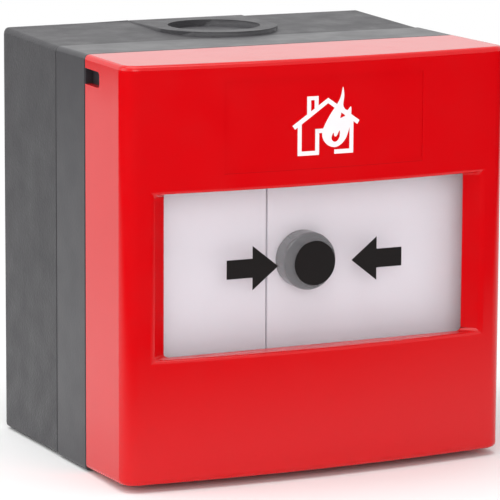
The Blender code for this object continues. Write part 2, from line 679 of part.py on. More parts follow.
def weigh_rim_edges(cover):
    """Mark the cover's top and bottom edges, but not its open rear edge, for rounding."""
    form = bmesh.new()
    form.from_mesh(cover.data)
    bmesh.ops.dissolve_limit(form, angle_limit=FLAT_ANGLE, verts=form.verts[:], edges=form.edges[:])
    weights = form.edges.layers.float.new("bevel_weight_edge")
    rear = COVER_REAR_Y - cover.location.y - SEAT
    for edge in form.edges:
        level = abs(edge.verts[0].co.z - edge.verts[1].co.z) < SEAT
        at_rear = all(vert.co.y > rear for vert in edge.verts)
        square = edge.calc_face_angle(0.0) > math.radians(60.0)
        if level and square and not at_rear:
            edge[weights] = 1.0
    form.to_mesh(cover.data)
    form.free()


def window_cutter():
    """Prism of the window seen from above: straight through at the seat, then flared to the front."""
    half = WINDOW_WIDTH / 2.0
    centre_y, radius = crown_circle(COVER_WIDTH / 2.0, COVER_EDGE_Y, COVER_CROWN)
    rim = half + WINDOW_BEVEL
    rim_y = centre_y - math.sqrt(radius ** 2 - rim ** 2)
    flare = WINDOW_BEVEL / (WINDOW_SEAT_Y - rim_y)
    front_y = COVER_FRONT_Y - COVER_CROWN
    far = rim + flare * (rim_y - front_y)
    rear_y = WINDOW_SEAT_Y + COVER_WALL
    outline = [(-far, front_y), (-half, WINDOW_SEAT_Y), (-half, rear_y), (half, rear_y),
               (half, WINDOW_SEAT_Y), (far, front_y)]
    return prism(outline, "Z", WINDOW_CENTRE_Z - WINDOW_HEIGHT / 2.0, WINDOW_CENTRE_Z + WINDOW_HEIGHT / 2.0)


def cover_tongues():
    """Two tongues that hook under the chassis's top wall, on webs that hang from the cover's top wall."""
    under = COVER_HEIGHT / 2.0 - COVER_WALL - SEAT - SPIGOT_WALL - RUN
    web_rear = SPIGOT_FRONT_Y - RUN
    web_front = web_rear - TONGUE_WEB
    tip = web_rear + TONGUE_REACH
    root = (COVER_HEIGHT - COVER_WALL) / 2.0
    outline = [(web_front, under - TONGUE_THICKNESS), (tip, under - TONGUE_THICKNESS), (tip, under),
               (web_rear, under), (web_rear, root), (web_front, root)]
    tongues = []
    for side in (-1, 1):
        middle = side * TONGUE_SPACING / 2.0
        tongues.append(prism(outline, "X", middle - TONGUE_WIDTH / 2.0, middle + TONGUE_WIDTH / 2.0))
    return tongues


def make_element_pane():
    """Clear push pane that slides on the four pegs of the element frame."""
    outline = rounded_rectangle(PANE_WIDTH, PANE_HEIGHT, PANE_CORNER, (0.0, WINDOW_CENTRE_Z))
    pane = part("element_pane", prism(outline, "Y", PANE_FRONT_Y, PANE_REAR_Y), CLEAR,
                (0.0, PANE_FRONT_Y, WINDOW_CENTRE_Z))
    for place in corner_places(PEG_SPACING_X, PEG_SPACING_Z, WINDOW_CENTRE_Z):
        shape(pane, "DIFFERENCE", rod(place, "Y", PEG_RADIUS + RUN, PANE_FRONT_Y - PANE_THICKNESS,
                                      PANE_REAR_Y + PANE_THICKNESS))


def make_element_frame():
    """White frame behind the pane: plate left of the split, two bars, pegs, hinge ears and slider rails."""
    outline = rounded_rectangle(FRAME_WIDTH, FRAME_HEIGHT, PANE_CORNER, (0.0, WINDOW_CENTRE_Z))
    frame = part("element_frame", prism(outline, "Y", PLATE_FRONT_Y, PLATE_REAR_Y), WHITE)
    open_z = ACTUATOR_HEIGHT / 2.0 + SPLIT_GAP
    shape(frame, "DIFFERENCE",
          block((SPLIT_X - SPLIT_GAP / 2.0, PLATE_FRONT_Y - PLATE_THICKNESS, WINDOW_CENTRE_Z - open_z),
                (FRAME_WIDTH, PLATE_REAR_Y + PLATE_THICKNESS, WINDOW_CENTRE_Z + open_z)))
    inside_y = PLATE_REAR_Y - PLATE_THICKNESS / 2.0
    for place in corner_places(PEG_SPACING_X, PEG_SPACING_Z, WINDOW_CENTRE_Z):
        shape(frame, "UNION", rod(place, "Y", PEG_RADIUS, inside_y, PANE_FRONT_Y + RUN))
    ear_x = HINGE_BARREL_RADIUS + RUN
    ear_rear = HINGE_Y + HINGE_BARREL_RADIUS
    for side in (-1, 1):
        near = WINDOW_CENTRE_Z + side * open_z
        far = near + side * HINGE_EAR
        shape(frame, "UNION", block((HINGE_X - ear_x, inside_y, min(near, far)),
                                    (HINGE_X + ear_x, ear_rear, max(near, far))))
    shape(frame, "DIFFERENCE",
          rod((HINGE_X, HINGE_Y), "Z", HINGE_PIN_RADIUS + RUN, -FRAME_HEIGHT, FRAME_HEIGHT))
    for place in corner_places(FRAME_SCREW_SPACING_X, FRAME_SCREW_SPACING_Z, WINDOW_CENTRE_Z):
        shape(frame, "DIFFERENCE", rod(place, "Y", FRAME_SCREW["shank"] + RUN,
                                       PLATE_FRONT_Y - PLATE_THICKNESS, PLATE_REAR_Y + PLATE_THICKNESS))
    for rail in slider_rails():
        shape(frame, "UNION", rail)


def slider_rails():
    """Two rails with lips on the back of the frame's lower bar, which hold the reset slider."""
    inner = SLIDER_WIDTH / 2.0 + RUN
    outer = inner + RAIL_THICKNESS
    low = WINDOW_CENTRE_Z - FRAME_HEIGHT / 2.0 + SPLIT_GAP
    high = SLIDER_TOP_Z - RUN
    lip_front = SLIDER_REAR_Y + RUN
    lip_rear = lip_front + RAIL_THICKNESS
    root = PLATE_REAR_Y - PLATE_THICKNESS / 2.0
    section = [(inner, root), (outer, root), (outer, lip_rear), (inner - RAIL_LIP, lip_rear),
               (inner - RAIL_LIP, lip_front), (inner, lip_front)]
    mirrored = [(-x, y) for x, y in reversed(section)]
    return [prism(section, "Z", low, high), prism(mirrored, "Z", low, high)]


def make_actuator_plate():
    """White plate right of the split, with the hinge barrel on its back and a hole for the plunger."""
    low = WINDOW_CENTRE_Z - ACTUATOR_HEIGHT / 2.0
    high = WINDOW_CENTRE_Z + ACTUATOR_HEIGHT / 2.0
    body = block((SPLIT_X + SPLIT_GAP / 2.0, PLATE_FRONT_Y, low), (ACTUATOR_RIGHT, PLATE_REAR_Y, high))
    plate = part("actuator_plate", body, WHITE, (HINGE_X, HINGE_Y, WINDOW_CENTRE_Z))
    shape(plate, "UNION", rod((HINGE_X, HINGE_Y), "Z", HINGE_BARREL_RADIUS, low, high, ROUND))
    shape(plate, "DIFFERENCE",
          rod((HINGE_X, HINGE_Y), "Z", HINGE_PIN_RADIUS + RUN, 2 * low, 2 * high),
          rod((0.0, WINDOW_CENTRE_Z), "Y", STEM_RADIUS + RUN, PLATE_FRONT_Y - PLATE_THICKNESS,
              PLATE_REAR_Y + PLATE_THICKNESS, ROUND))


def make_hinge_pin():
    """Steel pin of the actuator plate."""
    reach = ACTUATOR_HEIGHT / 2.0 + SPLIT_GAP + HINGE_EAR
    part("hinge_pin", rod((HINGE_X, HINGE_Y), "Z", HINGE_PIN_RADIUS, WINDOW_CENTRE_Z - reach,
                          WINDOW_CENTRE_Z + reach), STEEL, (HINGE_X, HINGE_Y, WINDOW_CENTRE_Z))


def lever_front_y(z):
    """Depth of the lever's front face at a height, at rest."""
    return LEVER_Y - (z - LEVER_Z) * math.tan(LEVER_TILT) - LEVER_THICKNESS / (2.0 * math.cos(LEVER_TILT))


def make_plunger():
    """Grey boss between the pane and the plate, with a stem that pushes the switch lever."""
    front = PANE_REAR_Y + SEAT
    seat = PLATE_FRONT_Y - SEAT
    tip = lever_front_y(WINDOW_CENTRE_Z + STEM_TIP_RADIUS) - RUN
    head = seat - front
    stem = tip - front
    profile = [(0.0, 0.0), (PLUNGER_RADIUS - PLUNGER_EDGE, 0.0), (PLUNGER_RADIUS, -PLUNGER_EDGE),
               (PLUNGER_RADIUS, -head), (STEM_RADIUS, -head), (STEM_RADIUS, -stem + STEM_RADIUS),
               (STEM_TIP_RADIUS, -stem), (0.0, -stem)]
    place = Matrix.Translation((0.0, front, WINDOW_CENTRE_Z)) @ AXES["Y"]
    part("plunger", moved(turned(profile), place), GREY, (0.0, front, WINDOW_CENTRE_Z))


def make_switch():
    """Alarm microswitch: body with lugs, tilted lever, small button and three solder pins."""
    half = SWITCH_WIDTH / 2.0
    case = block((-half, SWITCH_FRONT_Y, SWITCH_BOTTOM_Z), (half, SWITCH_REAR_Y, SWITCH_TOP_Z))
    body = part("switch_body", case, BLACK_SATIN, (0.0, SWITCH_REAR_Y, SWITCH_TOP_Z))
    lug_x = LEVER_WIDTH / 2.0 + RUN
    lug_front = LEVER_Y - 2 * LEVER_BARREL_RADIUS
    lug_low = LEVER_Z - 2 * LEVER_BARREL_RADIUS
    lug_high = LEVER_Z + 2 * LEVER_BARREL_RADIUS
    for side in (-1, 1):
        ends = sorted((side * lug_x, side * (lug_x + LUG_THICKNESS)))
        lug_rear = SWITCH_REAR_Y - SWITCH_DEPTH / 2.0
        shape(body, "UNION", block((ends[0], lug_front, lug_low), (ends[1], lug_rear, lug_high)))
    button_z = LEVER_Z + BUTTON_ARM
    hole_x = BUTTON_WIDTH / 2.0 + RUN
    hole_z = BUTTON_HEIGHT / 2.0 + RUN
    button_front = lever_front_y(button_z) + LEVER_THICKNESS / math.cos(LEVER_TILT) + RUN
    button_rear = button_front + BUTTON_LENGTH
    hole_rear = button_rear + BUTTON_TRAVEL_ROOM
    hole = block((-hole_x, SWITCH_FRONT_Y - SEAT, button_z - hole_z), (hole_x, hole_rear, button_z + hole_z))
    shape(body, "DIFFERENCE", hole)
    part("switch_button", block((-BUTTON_WIDTH / 2.0, button_front, button_z - BUTTON_HEIGHT / 2.0),
                                (BUTTON_WIDTH / 2.0, button_rear, button_z + BUTTON_HEIGHT / 2.0)),
         RED_GLOSS, (0.0, button_front, button_z))

    strip_x = LEVER_WIDTH / 2.0
    strip_y = LEVER_THICKNESS / 2.0
    strip = block((-strip_x, -strip_y, 0.0), (strip_x, strip_y, LEVER_LENGTH))
    lean = Matrix.Translation((0.0, LEVER_Y, LEVER_Z)) @ Matrix.Rotation(LEVER_TILT, 4, "X")
    lever = part("switch_lever", moved(strip, lean), STEEL, (0.0, LEVER_Y, LEVER_Z))
    shape(lever, "UNION", rod((LEVER_Y, LEVER_Z), "X", LEVER_BARREL_RADIUS, -strip_x, strip_x))

    middle = (SWITCH_TOP_Z + SWITCH_BOTTOM_Z) / 2.0
    pin = rod((0.0, 0.0), "Y", SWITCH_PIN_RADIUS, SEAT, BOARD_REAR_Y - SWITCH_REAR_Y + SWITCH_PIN_TAIL)
    copies("switch_terminal", pin, STEEL, [(0.0, SWITCH_REAR_Y, z) for z in switch_pin_heights(middle)])


def switch_pin_heights(middle):
    """List the heights of the switch's three solder pins."""
    return [middle + step * SWITCH_PIN_SPACING for step in (-1, 0, 1)]


def make_circuit_board():
    """Board that carries the switch and the terminals, with access holes for the chassis screws."""
    low = (-BOARD_WIDTH / 2.0, BOARD_FRONT_Y, BOARD_BOTTOM_Z)
    high = (BOARD_WIDTH / 2.0, BOARD_REAR_Y, BOARD_TOP_Z)
    board = part("circuit_board", block(low, high), BOARD_GREEN, (0.0, BOARD_REAR_Y, 0.0))
    ends = (BOARD_FRONT_Y - BOARD_THICKNESS, BOARD_REAR_Y + BOARD_THICKNESS)
    holes = [((side * SCREW_SPACING / 2.0, 0.0), BOARD_ACCESS_RADIUS) for side in (-1, 1)]
    holes += [(place, BOARD_SCREW["shank"] + RUN) for place in board_screw_places()]
    middle = (SWITCH_TOP_Z + SWITCH_BOTTOM_Z) / 2.0
    holes += [((0.0, z), SWITCH_PIN_RADIUS + RUN) for z in switch_pin_heights(middle)]
    holes.append(((RETURN_SPRING_X, RETURN_SPRING_Z), SPRING_POST_RADIUS + RUN))
    for place, radius in holes:
        shape(board, "DIFFERENCE", rod(place, "Y", radius, *ends))


def make_terminals():
    """Terminal block on the back of the board, with a clamp screw and a wire entry for each way."""
    half = terminal_width() / 2.0
    low_z = TERMINAL_CENTRE_Z - TERMINAL_HEIGHT / 2.0
    high_z = TERMINAL_CENTRE_Z + TERMINAL_HEIGHT / 2.0
    chamfer = TERMINAL_HEIGHT / 4.0
    outline = [(TERMINAL_FRONT_Y, low_z), (TERMINAL_REAR_Y - chamfer, low_z),
               (TERMINAL_REAR_Y, low_z + chamfer), (TERMINAL_REAR_Y, high_z), (TERMINAL_FRONT_Y, high_z)]
    housing = part("terminal_block", prism(outline, "X", -half, half), TERMINAL_GREEN,
                   (0.0, TERMINAL_FRONT_Y, TERMINAL_CENTRE_Z))
    screw_z = TERMINAL_CENTRE_Z + TERMINAL_HEIGHT / 8.0
    seat = TERMINAL_REAR_Y - TERMINAL_SCREW_LENGTH - SEAT
    places = []
    for i in range(TERMINAL_WAYS):
        x = (i - (TERMINAL_WAYS - 1) / 2.0) * TERMINAL_PITCH
        places.append((x, seat, screw_z))
        shape(housing, "DIFFERENCE",
              rod((x, screw_z), "Y", TERMINAL_SCREW_RADIUS + RUN, seat - SEAT, TERMINAL_REAR_Y + SEAT),
              block((x - WIRE_ENTRY / 2.0, TERMINAL_FRONT_Y + WIRE_ENTRY, low_z - SEAT),
                    (x + WIRE_ENTRY / 2.0, TERMINAL_FRONT_Y + 2 * WIRE_ENTRY, low_z + TERMINAL_HEIGHT / 2.0)))
    clamp = rod((0.0, 0.0), "Y", TERMINAL_SCREW_RADIUS, 0.0, TERMINAL_SCREW_LENGTH)
    copies("terminal_screw", clamp, STEEL, places)


def resistor_path():
    """List a resistor's (x, rise, radius) from one foot to the other."""
    foot = RESISTOR_SPAN / 2.0
    body = RESISTOR_LENGTH / 2.0
    lead = RESISTOR_LEAD_RADIUS
    half = [(foot, 0.0, lead), (foot, RESISTOR_RISE - 2 * lead, lead), (foot - 2 * lead, RESISTOR_RISE, lead),
            (body, RESISTOR_RISE, lead), (body - lead, RESISTOR_RISE, RESISTOR_RADIUS)]
    return [(-x, rise, radius) for x, rise, radius in half] + half[::-1]


def make_resistors():
    """Alarm and end-of-line resistors on the front of the board."""
    curve = bpy.data.curves.new("resistor", "CURVE")
    curve.dimensions = "3D"
    curve.bevel_depth = RESISTOR_LEAD_RADIUS
    curve.bevel_resolution = 2
    curve.use_fill_caps = True
    path = resistor_path()
    spline = curve.splines.new("POLY")
    spline.points.add(len(path) - 1)
    for point, (x, rise, radius) in zip(spline.points, path):
        point.co = (x, -rise, 0.0, 1.0)
        point.radius = radius / RESISTOR_LEAD_RADIUS
    single = evaluated_mesh(bpy.data.objects.new("resistor", curve))
    places = [(side * RESISTOR_X, BOARD_FRONT_Y - SEAT, RESISTOR_Z) for side in (-1, 1)]
    copies("resistor", single, RESISTOR_TAN, places)


def make_reset_slider():
    """Slider that the reset key lifts, with a foot over the key slot."""
    half = SLIDER_WIDTH / 2.0
    body = block((-half, SLIDER_FRONT_Y, SLIDER_FOOT_Z), (half, SLIDER_REAR_Y, SLIDER_TOP_Z))
    slider = part("reset_slider", body, GREY, (0.0, SLIDER_REAR_Y, SLIDER_FOOT_Z))
    foot = SLIDER_FOOT_WIDTH / 2.0
    shape(slider, "UNION",
          block((-foot, SLIDER_FRONT_Y - SLIDER_NOSE, SLIDER_FOOT_Z),
                (foot, SLIDER_REAR_Y, SLIDER_FOOT_Z + SLIDER_FOOT_HEIGHT)))


def make_springs():
    """Return spring of the actuator plate, and the four springs that hold the pane forward."""
    length = SPRING_POST_FRONT_Y - PLATE_REAR_Y - 2 * SEAT
    body = coil(RETURN_SPRING_RADIUS, length, RETURN_SPRING_TURNS, RETURN_SPRING_WIRE, "return_spring")
    seat = (RETURN_SPRING_X, SPRING_POST_FRONT_Y - SEAT, RETURN_SPRING_Z)
    part("return_spring", moved(body, Matrix.Translation(seat) @ AXES["Y"]), STEEL, seat)

    length = PLATE_FRONT_Y - PANE_REAR_Y - 2 * SEAT
    single = coil(PANE_SPRING_RADIUS, length, PANE_SPRING_TURNS, PANE_SPRING_WIRE, "pane_spring")
    corners = corner_places(PEG_SPACING_X, PEG_SPACING_Z, WINDOW_CENTRE_Z)
    copies("pane_spring", moved(single, AXES["Y"]), STEEL, [(x, PLATE_FRONT_Y - SEAT, z) for x, z in corners])


def make_fasteners():
    """Screws of the chassis, the element frame and the circuit board."""
    half = SCREW_SPACING / 2.0
    screws("chassis_screw", [(-half, 0.0), (half, 0.0)], FLOOR_FRONT_Y - SEAT, CHASSIS_SCREW)
    corners = corner_places(FRAME_SCREW_SPACING_X, FRAME_SCREW_SPACING_Z, WINDOW_CENTRE_Z)
    screws("frame_screw", corners, PLATE_FRONT_Y - SEAT, FRAME_SCREW)
    screws("board_screw", board_screw_places(), BOARD_FRONT_Y - SEAT, BOARD_SCREW)


make_back_box()
make_chassis()
make_front_cover()
make_element_pane()
make_element_frame()
make_actuator_plate()
make_hinge_pin()
make_plunger()
make_switch()
make_circuit_board()
make_terminals()
make_resistors()
make_reset_slider()
make_springs()
make_fasteners()
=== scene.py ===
"""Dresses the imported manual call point: finishes, prints, small fasteners, springs, studio and camera."""

import math

import bmesh
import bpy
from bpy.props import FloatProperty, FloatVectorProperty, IntProperty, PointerProperty
from mathutils import Matrix, Vector


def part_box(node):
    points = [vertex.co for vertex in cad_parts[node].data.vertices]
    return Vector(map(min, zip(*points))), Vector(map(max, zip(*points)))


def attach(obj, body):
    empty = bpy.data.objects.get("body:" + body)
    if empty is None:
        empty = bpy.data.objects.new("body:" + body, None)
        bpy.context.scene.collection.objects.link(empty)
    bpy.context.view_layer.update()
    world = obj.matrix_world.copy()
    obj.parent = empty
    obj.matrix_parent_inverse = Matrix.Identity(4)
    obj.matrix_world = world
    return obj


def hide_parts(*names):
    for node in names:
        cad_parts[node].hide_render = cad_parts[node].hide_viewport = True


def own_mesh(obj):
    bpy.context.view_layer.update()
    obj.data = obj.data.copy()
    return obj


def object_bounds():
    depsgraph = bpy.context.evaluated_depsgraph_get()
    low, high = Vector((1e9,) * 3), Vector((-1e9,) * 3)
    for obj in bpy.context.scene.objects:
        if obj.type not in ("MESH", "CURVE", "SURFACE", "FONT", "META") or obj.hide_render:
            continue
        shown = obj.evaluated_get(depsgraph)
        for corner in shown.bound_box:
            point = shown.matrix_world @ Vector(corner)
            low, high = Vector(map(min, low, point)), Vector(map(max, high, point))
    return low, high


bl_info = {
    "name": "Manual call point",
    "version": (1, 0, 0),
    "blender": (4, 5, 0),
    "location": "3D View > Sidebar > Call point",
    "description": "Dresses a packed call point with finishes, prints, fasteners, springs and a studio",
    "category": "Object",
}

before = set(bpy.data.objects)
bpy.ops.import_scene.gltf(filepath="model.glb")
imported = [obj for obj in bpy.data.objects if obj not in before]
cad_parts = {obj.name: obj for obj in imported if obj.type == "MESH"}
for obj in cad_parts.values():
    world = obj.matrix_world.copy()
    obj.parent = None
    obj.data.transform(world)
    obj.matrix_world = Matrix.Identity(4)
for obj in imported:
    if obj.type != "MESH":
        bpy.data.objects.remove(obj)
CAD_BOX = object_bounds()
MM = 0.001
SHARP = math.radians(32.0)
ROUNDED_FROM = 0.8 * SHARP
FLAT = math.radians(0.1)
SOLID_WELD = 2e-6
PRINT_WELD = 1e-6
NEAR = 0.1 * MM

# Turns that point the axis of a screw or a spring to the front or to the rear
TO_FRONT = (math.pi / 2.0, 0.0, 0.0)
TO_REAR = (-math.pi / 2.0, 0.0, 0.0)

# Sizes of the solids that the dressed forms start from, and zones round their window, corners and hole
COVER_CROWN = 3.0 * MM
COVER_CHAMFER = 1.3 * MM
COVER_DEPTH = 24.5 * MM
PANEL_RECESS = 0.3 * MM
WINDOW_REACH_X = 39.5 * MM
WINDOW_REACH_Z = 18.2 * MM
SOLID_CORNER = 2.0 * MM
CORNER_ZONE = 2.6 * MM
PAD_RISE = 1.1 * MM
HOLE_CENTRE_Y = -15.0 * MM
HOLE_REACH = 10.4 * MM

# How far the moulded forms depart from the solids, and the height over which a slope fades
SIDE_DRAW = 0.6 * MM
BOTTOM_LIFT_REAR = 0.6 * MM
BOTTOM_LIFT_GAIN = 0.9 * MM
TOP_SLOPE = 0.9 * MM
BOTTOM_SLOPE = 0.2 * MM
SLOPE_FADE = 6.0 * MM

# The middle of a print stands this share of its height ahead of its surface
PRINT_PROUD = 0.6

# Screws and solder joints, as shares of their radius
HEAD_TOP_SHARE = 0.82
CROSS_SHARE = 1.25
SLOT_SHARE = 1.9
BLADE_SHARE = 0.28
SOLDER_TIP_SHARE = 0.35

# Camera: the sensor in millimetres, and the nearest distance that it sees in metres
SENSOR_WIDTH = 36.0
NEAREST_SEEN = 0.01

# Studio, in metres: a fade has its start and end, and a lamp its name, place, size and power in watts
AIM = Vector((0.0, -35.0 * MM, 0.0))
ROUND_SIDES = 96
FLOOR_RADIUS = 2.0
FLOOR_DROP = 0.2 * MM
RING_INNER_RADIUS = 0.20
RING_CENTRE = (0.10, 0.30)
RING_LIFT = 0.5 * MM
SHADOW_FADE = (0.10, 0.32)
RING_FADE = (0.36, 0.54)
SOFTBOXES = (
    ("overhead_softbox", (-0.15, -0.10, 1.10), (1.2, 1.0), 9.0),
    ("left_softbox", (-1.10, 0.20, 0.55), (0.9, 0.9), 5.0),
    ("front_softbox", (-0.40, -1.30, 0.50), (0.9, 0.7), 6.0),
)


def linear(code):
    """Turn an sRGB hex colour into linear red, green and blue."""
    channels = [int(code[i:i + 2], 16) / 255.0 for i in (0, 2, 4)]
    return tuple(c / 12.92 if c <= 0.04045 else ((c + 0.055) / 1.055) ** 2.4 for c in channels)


def colour(code, words):
    """Declare one colour that a user can change."""
    return FloatVectorProperty(name=words, description="Colour of the " + words.lower(), subtype="COLOR",
                               size=3, min=0.0, max=1.0, default=linear(code))


def length(millimetres, words):
    """Declare one size that a user can change."""
    return FloatProperty(name=words, description=words + " in metres", unit="LENGTH", precision=5,
                         default=millimetres * MM)


class CallPointSizes(bpy.types.PropertyGroup):
    """Sizes of what the scene adds to the solids."""
    edge_rounding: length(0.3, "Rounding of moulded edges")
    housing_corner: length(1.1, "Radius of the long corners of box and chassis")
    rim_rounding: length(1.0, "Rounding of the cover's rim")
    window_rounding: length(0.7, "Rounding of the window's edges")
    print_height: length(0.03, "Height of a print above its surface")
    arrow_tail: length(20.3, "Distance of an arrow's tail from the middle")
    arrow_neck: length(14.4, "Distance of an arrow's neck from the middle")
    arrow_tip: length(8.5, "Distance of an arrow's tip from the middle")
    arrow_shaft: length(4.0, "Height of an arrow's shaft")
    arrow_head: length(9.3, "Height of an arrow's head")
    dot_radius: length(4.7, "Radius of the printed dot")
    coil_sides: IntProperty(name="Coil sides", description="Sides of a spring's wire", default=8,
                            min=6, max=16)


class CallPointColours(bpy.types.PropertyGroup):
    """Colours of the finishes."""
    cover_red: colour("D2040C", "Red cover")
    box_charcoal: colour("39383B", "Charcoal box")
    chassis_black: colour("343337", "Black chassis")
    plate_white: colour("F6F1F9", "White plates")
    pane_clear: colour("F4F4F8", "Clear pane")
    print_black: colour("151111", "Black print")
    sign_white: colour("F7F1F3", "White sign")
    boss_grey: colour("302F34", "Grey boss and slider")
    steel: colour("BFC2C4", "Plated steel")
    spring_steel: colour("8F9296", "Spring wire")
    board_green: colour("1E5A38", "Circuit board")
    terminal_green: colour("3B7A4C", "Terminal block")
    resistor_tan: colour("C9AE7C", "Resistor lacquer")
    floor_white: colour("F6F6F6", "Floor")


class CallPointStage(bpy.types.PropertyGroup):
    """Camera and light of the studio."""
    camera_place: FloatVectorProperty(name="Camera place", description="Place of the camera", size=3,
                                      subtype="TRANSLATION", default=(-0.33240, -0.72663, 0.13670))
    camera_turn: FloatProperty(name="Camera azimuth", description="Turn of the camera about the upright",
                               subtype="ANGLE", default=math.radians(-25.632))
    camera_rise: FloatProperty(name="Camera elevation", description="Height of the view above level",
                               subtype="ANGLE", default=math.radians(10.225))
    camera_roll: FloatProperty(name="Camera roll", description="Roll of the camera about its view",
                               subtype="ANGLE", default=math.radians(0.309))
    camera_lens: FloatProperty(name="Lens", description="Focal length in millimetres on a 36 mm sensor",
                               default=260.7)
    sky_strength: FloatProperty(name="Room light", description="Strength of the light from all round",
                                default=0.50)


def sizes():
    """The sizes as they are set in the scene."""
    return bpy.context.scene.call_point_sizes


def colours():
    """The colours as they are set in the scene."""
    return bpy.context.scene.call_point_colours


def add_node(tree, kind, values=None, links=None, **settings):
    """Add one node, set its choices and values, and link its inputs."""
    node = tree.nodes.new(kind)
    for key, value in settings.items():
        setattr(node, key, value)
    for key, value in (values or {}).items():
        node.inputs[key].default_value = value
    for key, socket in (links or {}).items():
        tree.links.new(socket, node.inputs[key])
    return node


def new_finish(name, base, **values):
    """Start a material: its Principled shader, and the object coordinates that its patterns read."""
    material = bpy.data.materials.new(name)
    material.use_nodes = True
    tree = material.node_tree
    tree.nodes.clear()
    shader = add_node(tree, "ShaderNodeBsdfPrincipled", {"Base Color": (*base, 1.0), **values})
    add_node(tree, "ShaderNodeOutputMaterial", links={"Surface": shader.outputs["BSDF"]})
    place = add_node(tree, "ShaderNodeTexCoord").outputs["Object"]
    return material, tree, shader, place


def vary_roughness(tree, shader, place, period, low, high):
    """Let the gloss wander between two roughnesses over a period in metres."""
    cloud = add_node(tree, "ShaderNodeTexNoise", {"Scale": 1.0 / period, "Detail": 3.0}, {"Vector": place})
    gloss = add_node(tree, "ShaderNodeMapRange",
                     {"From Min": 0.3, "From Max": 0.7, "To Min": low, "To Max": high},
                     {"Value": cloud.outputs["Fac"]})
    tree.links.new(gloss.outputs["Result"], shader.inputs["Roughness"])


def vary_colour(tree, shader, place, period, base, spread):
    """Let the colour wander a little around its base over a period in metres."""
    cloud = add_node(tree, "ShaderNodeTexNoise", {"Scale": 1.0 / period, "Detail": 4.0}, {"Vector": place})
    dark = (*[c * (1.0 - spread) for c in base], 1.0)
    light = (*[min(1.0, c * (1.0 + spread)) for c in base], 1.0)
    mix = add_node(tree, "ShaderNodeMix", {6: dark, 7: light}, {0: cloud.outputs["Fac"]}, data_type="RGBA")
    tree.links.new(mix.outputs[2], shader.inputs["Base Color"])


def roughen(tree, shader, place, period, depth):
    """Raise a fine moulded grain of a period and a depth in metres."""
    grain = add_node(tree, "ShaderNodeTexNoise", {"Scale": 1.0 / period, "Detail": 2.0}, {"Vector": place})
    bump = add_node(tree, "ShaderNodeBump", {"Distance": depth, "Strength": 1.0},
                    {"Height": grain.outputs["Fac"]})
    tree.links.new(bump.outputs["Normal"], shader.inputs["Normal"])


def moulded(name, base, period, depth, low, high, spread, ior=1.45):
    """Make a moulded plastic from its grain's period and depth in millimetres, its least and most
    roughness, the spread of its colour and its IOR."""
    material, tree, shader, place = new_finish(name, base, IOR=ior)
    colour_period = 9.0 * MM
    gloss_period = 6.0 * MM
    vary_colour(tree, shader, place, colour_period, base, spread)
    vary_roughness(tree, shader, place, gloss_period, low, high)
    roughen(tree, shader, place, period * MM, depth * MM)
    return material


def metal(name, base, low, high):
    """Make a plated metal: drawn or turned, then dipped, so its gloss is cloudy."""
    material, tree, shader, place = new_finish(name, base, Metallic=1.0)
    colour_period = 2.0 * MM
    gloss_period = 1.2 * MM
    colour_spread = 0.08
    vary_colour(tree, shader, place, colour_period, base, colour_spread)
    vary_roughness(tree, shader, place, gloss_period, low, high)
    return material


def finish(name):
    """Return one of the object's finishes, made when it is first asked for."""
    if name in bpy.data.materials:
        return bpy.data.materials[name]
    tints = colours()
    made = {
        # Polished tool steel leaves ABS glossy, with a faint wave that softens what it mirrors.
        "gloss_red_abs": lambda: moulded(name, tints.cover_red, 2.5, 0.004, 0.09, 0.14, 0.02, 1.42),
        # Spark-eroded tools give a dull grain. Real pits are 0.1 mm, drawn at 0.5 mm so that they show.
        "spark_textured_abs": lambda: moulded(name, tints.box_charcoal, 0.5, 0.10, 0.42, 0.56, 0.14),
        # A shallower texture than the box's gives a satin that is darker and picks up broad reflections.
        "satin_black_abs": lambda: moulded(name, tints.chassis_black, 0.7, 0.02, 0.30, 0.38, 0.08),
        # Gloss white ABS: clean, and it mirrors the prints in front of it faintly.
        "gloss_white_abs": lambda: moulded(name, tints.plate_white, 4.0, 0.001, 0.05, 0.08, 0.01),
        # Acetal is waxy: a soft grey with a low sheen.
        "grey_acetal": lambda: moulded(name, tints.boss_grey, 1.2, 0.005, 0.22, 0.32, 0.04),
        # Screen ink lies flat and dull, with a little pinhole mottle.
        "black_screen_ink": lambda: moulded(name, tints.print_black, 0.4, 0.002, 0.55, 0.66, 0.12, 1.3),
        # White pad print over red: dense and dull, with a slight unevenness.
        "white_pad_print": lambda: moulded(name, tints.sign_white, 0.4, 0.002, 0.40, 0.52, 0.02),
        # Zinc plating is cool and cloudy.
        "zinc_plated_steel": lambda: metal(name, tints.steel, 0.25, 0.42),
        # Drawn spring wire is darker, with a smooth gloss.
        "spring_steel": lambda: metal(name, tints.spring_steel, 0.22, 0.34),
        # Glass-filled polyamide is dull, with a mottle from its fibres.
        "green_polyamide": lambda: moulded(name, tints.terminal_green, 0.9, 0.01, 0.40, 0.52, 0.08),
        "clear_polycarbonate": lambda: clear_polycarbonate(name, tints.pane_clear),
        "solder_mask": lambda: solder_mask(name, tints.board_green),
        "banded_lacquer": lambda: banded_lacquer(name, tints.resistor_tan),
        "studio_floor": lambda: studio_floor(name, tints.floor_white),
        "dark_surround": lambda: dark_surround(name),
    }
    return made[name]()


def clear_polycarbonate(name, base):
    """Clear sheet: nearly all light passes, and its polished faces have a thin gloss with wiping marks."""
    material, tree, shader, place = new_finish(name, base, IOR=1.58, Alpha=0.10)
    vary_roughness(tree, shader, place, period=8.0 * MM, low=0.03, high=0.08)
    material.surface_render_method = "BLENDED"
    return material


